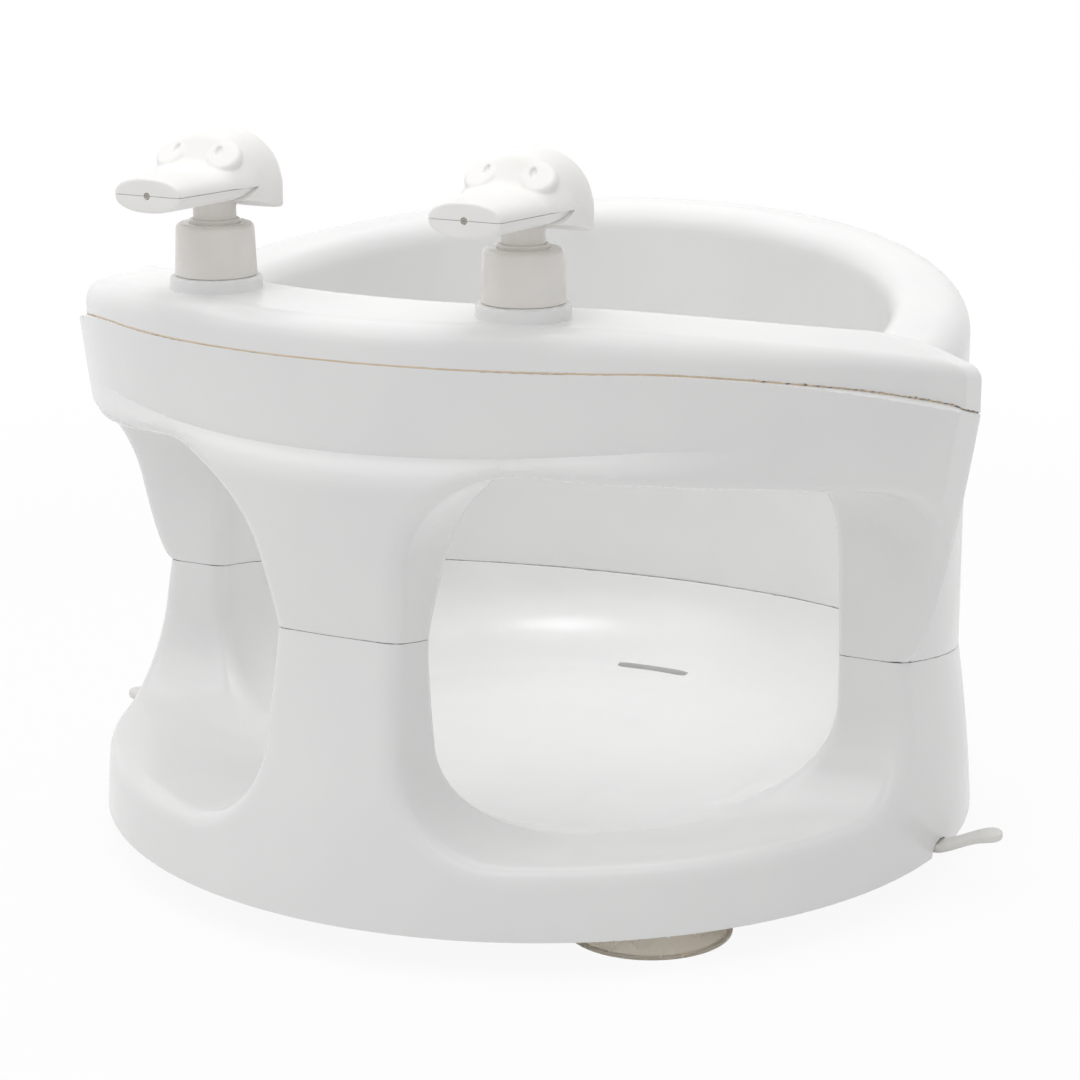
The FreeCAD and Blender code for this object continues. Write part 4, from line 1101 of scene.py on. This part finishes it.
# Tinted polypropylene: the pale warm grey of the pumps' collars, polished smoother than the shells
GREY_POLYPROPYLENE = Finish("warm_grey_polypropylene", "ECE9E4", "E7E4DF", 14.0, (0.2, 0.26), 9.0, 0.7,
                            0.003, 12.0, 0.015, subsurface=0.04, bleed_mm=0.8)
# Thermoplastic elastomer: a soft off-white with hardly any gloss, as a flexible tab has
ELASTOMER = Finish("soft_white_elastomer", "EAE9E6", "E3E1DC", 15.0, (0.42, 0.52), 10.0, 0.6, 0.01,
                   14.0, 0.04, ior=1.5, subsurface=0.15, bleed_mm=1.5)
# Cured silicone rubber: a cream that lets light through its thin rim and stays a little shiny
SILICONE = Finish("cream_silicone_rubber", "FDF7EC", "F9F0E0", 22.0, (0.22, 0.32), 14.0, 1.2, 0.008,
                  18.0, 0.06, ior=1.41, subsurface=0.2, bleed_mm=3.0, transmission=0.55)
# The seals, of a warmer silicone: the thin pale line in the lid's seam
AMBER_SILICONE = Finish("amber_silicone_rubber", "F3DEC2", "ECD3B2", 20.0, (0.3, 0.4), 12.0, 0.8, 0.008,
                        15.0, 0.03, ior=1.41, subsurface=0.2, bleed_mm=2.0)
# Blow-moulded natural polyethylene: milky and see-through, with slow waves from the blowing
POLYETHYLENE = Finish("natural_polyethylene", "E8ECEC", "DDE3E4", 30.0, (0.32, 0.42), 18.0, 1.0, 0.01,
                      25.0, 0.12, ior=1.52, subsurface=0.2, bleed_mm=3.0, transmission=0.45)
# Acetal: the dense, slippery milk white of pump works
ACETAL = Finish("milk_white_acetal", "E6E6E2", "DEDEDA", 10.0, (0.3, 0.38), 8.0, 0.5, 0.005,
                9.0, 0.02, ior=1.48, subsurface=0.1, bleed_mm=1.0)
# Drawn stainless wire and ball: bright metal with fine marks that run round the coil
STEEL = Finish("drawn_stainless_steel", "C9CACC", "B9BABD", 6.0, (0.18, 0.3), 2.0, 0.12, 0.004,
               5.0, 0.01, ior=1.5, metallic=1.0, stretch=(1.0, 1.0, 4.0))


class Wardrobe:
    """Builds each finish once and dresses pieces in it."""

    def __init__(self) -> None:
        """Starts with no materials built."""
        self.built: dict[str, bpy.types.Material] = {}

    def material(self, finish: Finish) -> bpy.types.Material:
        """The finish's material, built on first use."""
        if finish.name not in self.built:
            self.built[finish.name] = finish.material()
        return self.built[finish.name]

    def dress(self, piece: bpy.types.Object, finish: Finish) -> None:
        """Gives a new piece its finish."""
        piece.data.materials.clear()
        piece.data.materials.append(self.material(finish))

    def redress(self, node: bpy.types.Object, finish: Finish) -> None:
        """Gives a node of the frame its finish, through its object's material slots."""
        for slot in node.material_slots:
            slot.material = self.material(finish)


def hand_over(piece: bpy.types.Object, body: str, slot: str, *nodes: str) -> None:
    """Lets a piece ride on a body and stand for the body's plain nodes.

    Args:
        piece: The finished piece.
        body: Name of the body that carries it.
        slot: The record's material slot; not used.
        *nodes: Nodes of the frame that it stands for.
    """
    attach(piece, body)
    if nodes:
        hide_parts(*nodes)
    LOG.info("%s on %s, %d faces", piece.name, body, len(piece.data.polygons))


class Shells:
    """The base, the ring, the lid and the lid's seal."""

    seal_tall: float = 5.0

    def __init__(self, wardrobe: Wardrobe) -> None:
        """Takes the finishes that the shells are dressed in."""
        self.wardrobe = wardrobe
        self.forms = SeatFields()

    def build(self) -> None:
        """Draws, dresses and hands over each shell."""
        forms = self.forms
        plans = [
            ("base_moulding", forms.base, Contour((-186, -186, -4), (186, 186, 116), 2.4), POLYPROPYLENE,
             "seat", "shell", "base_shell"),
            ("ring_moulding", forms.ring, Contour((-205, -186, 40), (205, 184, 240), 2.4), POLYPROPYLENE,
             "seat", "shell", "ring_shell"),
            ("lid_moulding", forms.lid, Contour((-200, -178, 180), (200, -8, 250), 1.6), POLYPROPYLENE,
             "lid", "shell", "lid"),
            ("lid_seal", forms.gasket, Contour((-200, -178, 875), (200, -8, 1065), 1.5), AMBER_SILICONE,
             "lid", "seal", "lid_gasket")]
        for name, form, contour, finish, body, slot, node in plans:
            piece = drawn_piece(name, form, contour, tall=self.seal_tall if slot == "seal" else 1.0)
            self.wardrobe.dress(piece, finish)
            hand_over(piece, body, slot, node)


class Pump:
    """One pump over the lid: collar, bushing, stem and a duck head with its jaw."""

    def __init__(self, side: Side, wardrobe: Wardrobe) -> None:
        """Takes the side it stands on and the finishes it is dressed in."""
        self.side = side
        self.wardrobe = wardrobe
        self.size = PumpSizes()
        self.forms = PumpFields(self.size)

    def head_part(self, piece: str, form: Field, node: str) -> None:
        """Draws one half of the head about this pump's axis.

        Args:
            piece: The new piece's name, without its side.
            form: The half's field, about the pump's own axis.
            node: The node that it stands for, without its side.
        """
        s = self.size
        x0 = self.side.value * s.x
        low = (x0 - s.room_side, s.y - s.room_front, s.foot_z - s.room_below)
        high = (x0 + s.room_side, s.y + s.room_back, s.top_z + s.room_above)
        drawn = drawn_piece(self.side.node(piece), lambda x, y, z: form(x - x0, y - s.y, z),
                            Contour(low, high, s.head_step))
        self.wardrobe.dress(drawn, SPARKED_ABS)
        hand_over(drawn, self.side.node("head"), "head", self.side.node(node))

    def outlet(self) -> None:
        """Sets the soft outlet in the tip of the bill."""
        s = self.size
        x0, reach = self.side.value * s.x, s.bill_reach
        half = s.outlet_r * 2
        low = (x0 - half, s.y - reach - half, s.mouth_z - half)
        high = (x0 + half, s.y - reach + s.outlet_l + half, s.mouth_z + half)
        drawn = drawn_piece(self.side.node("bill_outlet"),
                            lambda x, y, z: self.forms.outlet(x - x0, y - s.y, z),
                            Contour(low, high, s.outlet_step))
        self.wardrobe.dress(drawn, SILICONE)
        hand_over(drawn, self.side.node("head"), "head")

    def turned_part(self, piece: str, outline: list[Point], finish: Finish, body: str, slot: str,
                    node: str) -> None:
        """Turns one round part about this pump's axis and hands it over."""
        turned = turned_piece(self.side.node(piece), outline, self.side.value * self.size.x, self.size.y)
        self.wardrobe.dress(turned, finish)
        hand_over(turned, body, slot, self.side.node(node))

    def collar(self) -> list[Point]:
        """Outline of the screw collar, with a rolled top edge and a short lead-in at its foot."""
        s = self.size
        plate_foot = s.collar_top_z - s.collar_plate
        return rolled_profile([
            (s.collar_bore_r, s.collar_foot_z, 0.3), (s.collar_foot_r, s.collar_foot_z, 0.5),
            (s.collar_top_r, s.collar_top_z, s.collar_roll), (s.collar_hole_r, s.collar_top_z, 0.4),
            (s.collar_hole_r, plate_foot, 0.3), (s.collar_bore_r, plate_foot, 0.4)])

    def bushing(self) -> list[Point]:
        """Outline of the bushing, whose ring stands round the stem in the collar's hole."""
        s = self.size
        bore = s.stem_r + s.run_gap
        return rolled_profile([
            (bore, s.bush_foot_z, 0.2), (s.bush_r, s.bush_foot_z, 0.4), (s.bush_r, s.bush_shoulder_z, 0.2),
            (s.ring_r, s.bush_shoulder_z, 0.1), (s.ring_r, s.ring_top_z, 0.5), (bore, s.ring_top_z, 0.3)])

    def stem(self) -> list[Point]:
        """Outline of the hollow stem."""
        s = self.size
        return rolled_profile([(s.stem_bore_r, s.stem_foot_z, 0.2), (s.stem_r, s.stem_foot_z, 0.5),
                               (s.stem_r, s.stem_top_z, 0.5), (s.stem_bore_r, s.stem_top_z, 0.2)])

    def build(self) -> None:
        """Makes the pump's shown parts."""
        plunger = self.side.node("plunger")
        self.turned_part("screw_collar", self.collar(), GREY_POLYPROPYLENE, "lid", "collar", "collar")
        self.turned_part("stem_bushing", self.bushing(), GREY_POLYPROPYLENE, "lid", "collar", "bushing")
        self.turned_part("pump_stem", self.stem(), GREY_POLYPROPYLENE, plunger, "collar", "stem")
        self.head_part("duck_crown", self.forms.upper, "duck_head")
        self.head_part("duck_lower_bill", self.forms.jaw, "duck_jaw")
        self.outlet()


class Footing:
    """The four suction cups and the two straps that release them."""

    def __init__(self, wardrobe: Wardrobe) -> None:
        """Takes the finishes that the footing is dressed in."""
        self.wardrobe = wardrobe
        self.size = StrapSizes()
        self.forms = StrapFields(self.size)

    def cup_outline(self) -> list[Point]:
        """Outline of one cup: thin flared skirt, hub, neck and the knob over the base's plate."""
        s = self.size
        return rolled_profile([
            (0, s.cup_foot_z + s.cup_hollow, 0), (s.hub_r, s.cup_foot_z + s.cup_hollow, 4.0),
            (s.cup_r - s.lip_w, s.cup_foot_z, 0.5), (s.cup_r, s.cup_foot_z, 0.3),
            (s.cup_r, s.cup_foot_z + s.lip_t, 0.6),
            (s.hub_r, s.hub_foot_z, 1.2), (s.hub_r, s.hub_top_z, 0.5), (s.neck_r, s.hub_top_z, 0.3),
            (s.neck_r, s.neck_top_z, 0.2), (s.knob_r, s.neck_top_z, 0.6),
            (s.knob_r - s.knob_draft, s.neck_top_z + s.knob_h, 1.2), (0, s.neck_top_z + s.knob_h, 0)])

    def cup_rows(self, material: bpy.types.Material) -> tuple[bpy.types.NodeTree, dict[str, str]]:
        """Builds the tree that sets one cup at each corner of the base.

        Args:
            material: The cups' material.

        Returns:
            The tree, and the identifier of each named input.
        """
        tree = bpy.data.node_groups.new("cup_rows", "GeometryNodeTree")
        face = tree.interface
        face.new_socket("Cup", in_out="INPUT", socket_type="NodeSocketGeometry")
        for name in ("Spacing X", "Spacing Y", "Shift Y"):
            face.new_socket(name, in_out="INPUT", socket_type="NodeSocketFloat")
        for name in ("Columns", "Rows"):
            face.new_socket(name, in_out="INPUT", socket_type="NodeSocketInt")
        face.new_socket("Cups", in_out="OUTPUT", socket_type="NodeSocketGeometry")
        given = add_node(tree, "NodeGroupInput").outputs
        grid = add_node(tree, "GeometryNodeMeshGrid", links={
            "Size X": given["Spacing X"], "Size Y": given["Spacing Y"],
            "Vertices X": given["Columns"], "Vertices Y": given["Rows"]})
        shift = add_node(tree, "ShaderNodeCombineXYZ", links={"Y": given["Shift Y"]})
        moved = add_node(tree, "GeometryNodeSetPosition", links={
            "Geometry": grid.outputs["Mesh"], "Offset": shift.outputs["Vector"]})
        cups = add_node(tree, "GeometryNodeInstanceOnPoints", links={
            "Points": moved.outputs["Geometry"], "Instance": given["Cup"]})
        solid = add_node(tree, "GeometryNodeRealizeInstances", links={"Geometry": cups.outputs["Instances"]})
        dressed = add_node(tree, "GeometryNodeSetMaterial", {"Material": material},
                           {"Geometry": solid.outputs["Geometry"]})
        add_node(tree, "NodeGroupOutput", links={"Cups": dressed.outputs["Geometry"]})
        return tree, {item.name: item.identifier for item in face.items_tree if item.in_out == "INPUT"}

    def cups(self) -> None:
        """Makes the four cups as one mesh, from one cup."""
        s = self.size
        piece = turned_piece("suction_cups", self.cup_outline(), 0.0, -DRAWING_PLACE_MM[1])
        rows = piece.modifiers.new("cup_rows", "NODES")
        tree, inputs = self.cup_rows(self.wardrobe.material(SILICONE))
        rows.node_group = tree
        values = {"Spacing X": 2 * s.cup_x * MM, "Spacing Y": 2 * s.cup_y * MM,
                  "Shift Y": DRAWING_PLACE_MM[1] * MM, "Columns": 2, "Rows": 2}
        for name, value in values.items():
            rows[inputs[name]] = value
        view = bpy.context.evaluated_depsgraph_get()
        mesh = bpy.data.meshes.new_from_object(piece.evaluated_get(view))
        piece.modifiers.remove(rows)
        piece.data = mesh
        mesh.name = piece.name
        corners = [f"{end}_{side}_suction_cup" for end in ("front", "rear") for side in ("right", "left")]
        hand_over(piece, "seat", "cup", *corners)

    def straps(self) -> None:
        """Makes the two release straps."""
        s = self.size
        for side in Side:
            turn = side.value
            near, far = sorted(turn * x for x in (s.cup_x - s.strap_room, s.tab_end_x + s.strap_room))
            deep = s.cup_y + s.strap_room
            contour = Contour((near, -deep, s.strap_low_z), (far, deep, s.strap_high_z), s.strap_step)
            piece = drawn_piece(side.node("strap"), lambda x, y, z: self.forms.strap(turn * x, y, z), contour)
            self.wardrobe.dress(piece, ELASTOMER)
            hand_over(piece, "seat", "strap", side.node("release_strap"))

    def build(self) -> None:
        """Makes the cups and the straps."""
        self.cups()
        self.straps()


class PumpWorks:
    """The works inside the shells, which keep their nodes of the frame."""

    FINISHES = {"tank": POLYETHYLENE, "neck_seal": AMBER_SILICONE, "pump_barrel": ACETAL, "piston": ACETAL,
                "return_spring": STEEL, "check_ball": STEEL, "dip_tube": POLYETHYLENE}

    def __init__(self, nodes: dict[str, bpy.types.Object], wardrobe: Wardrobe) -> None:
        """Takes the frame's nodes and the finishes."""
        self.nodes = nodes
        self.wardrobe = wardrobe

    def build(self) -> None:
        """Gives each node its finish, with its mesh left as it is."""
        for side in Side:
            for piece, finish in self.FINISHES.items():
                self.wardrobe.redress(self.nodes[side.node(piece)], finish)
                LOG.info("%s dressed in %s", side.node(piece), finish.name)


@dataclass(frozen=True)
class Lamp:
    """A soft lamp: a square panel, or a spot that fades out to its edge."""

    name: str
    kind: str
    place: Place
    target: Place
    watts: float
    width: float
    cone_deg: float = 0.0


@dataclass(frozen=True)
class Studio:
    """A pale floor, a white surround, soft lamps and the camera."""

    floor_half: float = 12.0
    floor_drop: float = 0.0003
    floor_white: str = "F4F4F4"
    glow_share: float = 0.92
    fade_from: float = 0.45
    fade_to: float = 1.1
    sky_light: float = 0.57
    lamps: tuple[Lamp, ...] = (
        Lamp("key_lamp", "AREA", (-0.3, -0.25, 1.5), (0.0, 0.0, 0.15), 15.0, 2.4),
        Lamp("bowl_lamp", "SPOT", (0.0, -0.1, 0.95), (0.0, 0.06, 0.05), 10.0, 0.18, 28.0))
    camera_place: Place = (0.5432, -1.0495, 0.4288)
    camera_right: Place = (0.8886, 0.4587, 0.0)
    camera_back: Place = (0.4438, -0.8595, 0.2537)
    lens_mm: float = 98.7
    sensor_mm: float = 36.0

    def seen_directly(self, tree: bpy.types.NodeTree) -> bpy.types.NodeSocket:
        """One for rays from the camera, off gloss and through clear pieces, and zero for other rays."""
        rays = add_node(tree, "ShaderNodeLightPath").outputs
        total = rays["Is Camera Ray"]
        for name in ("Is Glossy Ray", "Is Transmission Ray"):
            brightest = add_node(tree, "ShaderNodeMath", links={0: total, 1: rays[name]}, operation="MAXIMUM")
            total = brightest.outputs[0]
        return total

    def floor(self) -> None:
        """Lays the floor, which turns to plain white away from the object and keeps its shadow."""
        mesh = bpy.data.meshes.new("studio_floor")
        half = self.floor_half
        low = -self.floor_drop
        corners = [(-half, -half, low), (half, -half, low), (half, half, low), (-half, half, low)]
        mesh.from_pydata(corners, [], [(0, 1, 2, 3)])
        floor = bpy.data.objects.new("studio_floor", mesh)
        bpy.context.scene.collection.objects.link(floor)
        material = bpy.data.materials.new("painted_studio_floor")
        material.use_nodes = True
        tree = material.node_tree
        tree.nodes.clear()
        place = add_node(tree, "ShaderNodeTexCoord").outputs["Object"]
        far = add_node(tree, "ShaderNodeVectorMath", links={0: place}, operation="LENGTH").outputs["Value"]
        fade = add_node(tree, "ShaderNodeMapRange",
                        {"From Min": self.fade_from, "From Max": self.fade_to, "To Min": self.glow_share,
                         "To Max": 1.0}, {"Value": far}, interpolation_type="SMOOTHSTEP").outputs["Result"]
        share = add_node(tree, "ShaderNodeMath", links={0: fade, 1: self.seen_directly(tree)},
                         operation="MULTIPLY").outputs[0]
        matt = add_node(tree, "ShaderNodeBsdfDiffuse", {"Color": linear(self.floor_white)}).outputs[0]
        white = add_node(tree, "ShaderNodeEmission", {"Color": linear("FFFFFF"), "Strength": 1.0}).outputs[0]
        both = add_node(tree, "ShaderNodeMixShader", links={0: share, 1: matt, 2: white}).outputs[0]
        add_node(tree, "ShaderNodeOutputMaterial", links={"Surface": both})
        mesh.materials.append(material)

    def surround(self) -> None:
        """Makes the world white to the eye and softer as a light."""
        world = bpy.data.worlds.new("studio_surround")
        bpy.context.scene.world = world
        world.use_nodes = True
        tree = world.node_tree
        tree.nodes.clear()
        strength = add_node(tree, "ShaderNodeMapRange",
                            {"From Min": 0.0, "From Max": 1.0, "To Min": self.sky_light, "To Max": 1.0},
                            {"Value": self.seen_directly(tree)}).outputs["Result"]
        light = add_node(tree, "ShaderNodeBackground", {"Color": linear("FFFFFF")}, {"Strength": strength})
        add_node(tree, "ShaderNodeOutputWorld", links={"Surface": light.outputs[0]})

    def hang(self, lamp: Lamp) -> None:
        """Hangs one soft lamp, turned to its target."""
        light = bpy.data.lights.new(lamp.name, lamp.kind)
        light.energy = lamp.watts
        if lamp.kind == "AREA":
            light.size = lamp.width
        else:
            light.shadow_soft_size = lamp.width
            light.spot_size, light.spot_blend = math.radians(lamp.cone_deg), 1.0
        holder = bpy.data.objects.new(lamp.name, light)
        holder.location = lamp.place
        holder.rotation_euler = (Vector(lamp.place) - Vector(lamp.target)).to_track_quat("Z", "Y").to_euler()
        bpy.context.scene.collection.objects.link(holder)

    def camera(self) -> None:
        """Sets the camera at the photograph's place and angle."""
        lens = bpy.data.cameras.new("photo_camera")
        lens.lens, lens.sensor_width = self.lens_mm, self.sensor_mm
        holder = bpy.data.objects.new("photo_camera", lens)
        right, back = Vector(self.camera_right).normalized(), Vector(self.camera_back).normalized()
        turn = Matrix((right, back.cross(right), back)).transposed().to_4x4()
        holder.matrix_world = Matrix.Translation(self.camera_place) @ turn
        bpy.context.scene.collection.objects.link(holder)
        bpy.context.scene.camera = holder

    def build(self) -> None:
        """Sets up the whole studio."""
        self.floor()
        self.surround()
        for lamp in self.lamps:
            self.hang(lamp)
        self.camera()
        bpy.context.scene.view_settings.view_transform = "Standard"


def main() -> None:
    """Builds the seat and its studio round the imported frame."""
    logging.basicConfig(level=logging.INFO, format="%(message)s")
    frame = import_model()
    wardrobe = Wardrobe()
    Shells(wardrobe).build()
    for side in Side:
        Pump(side, wardrobe).build()
    Footing(wardrobe).build()
    PumpWorks(frame["nodes"], wardrobe).build()
    Studio().build()


if __name__ == "__main__":
    main()
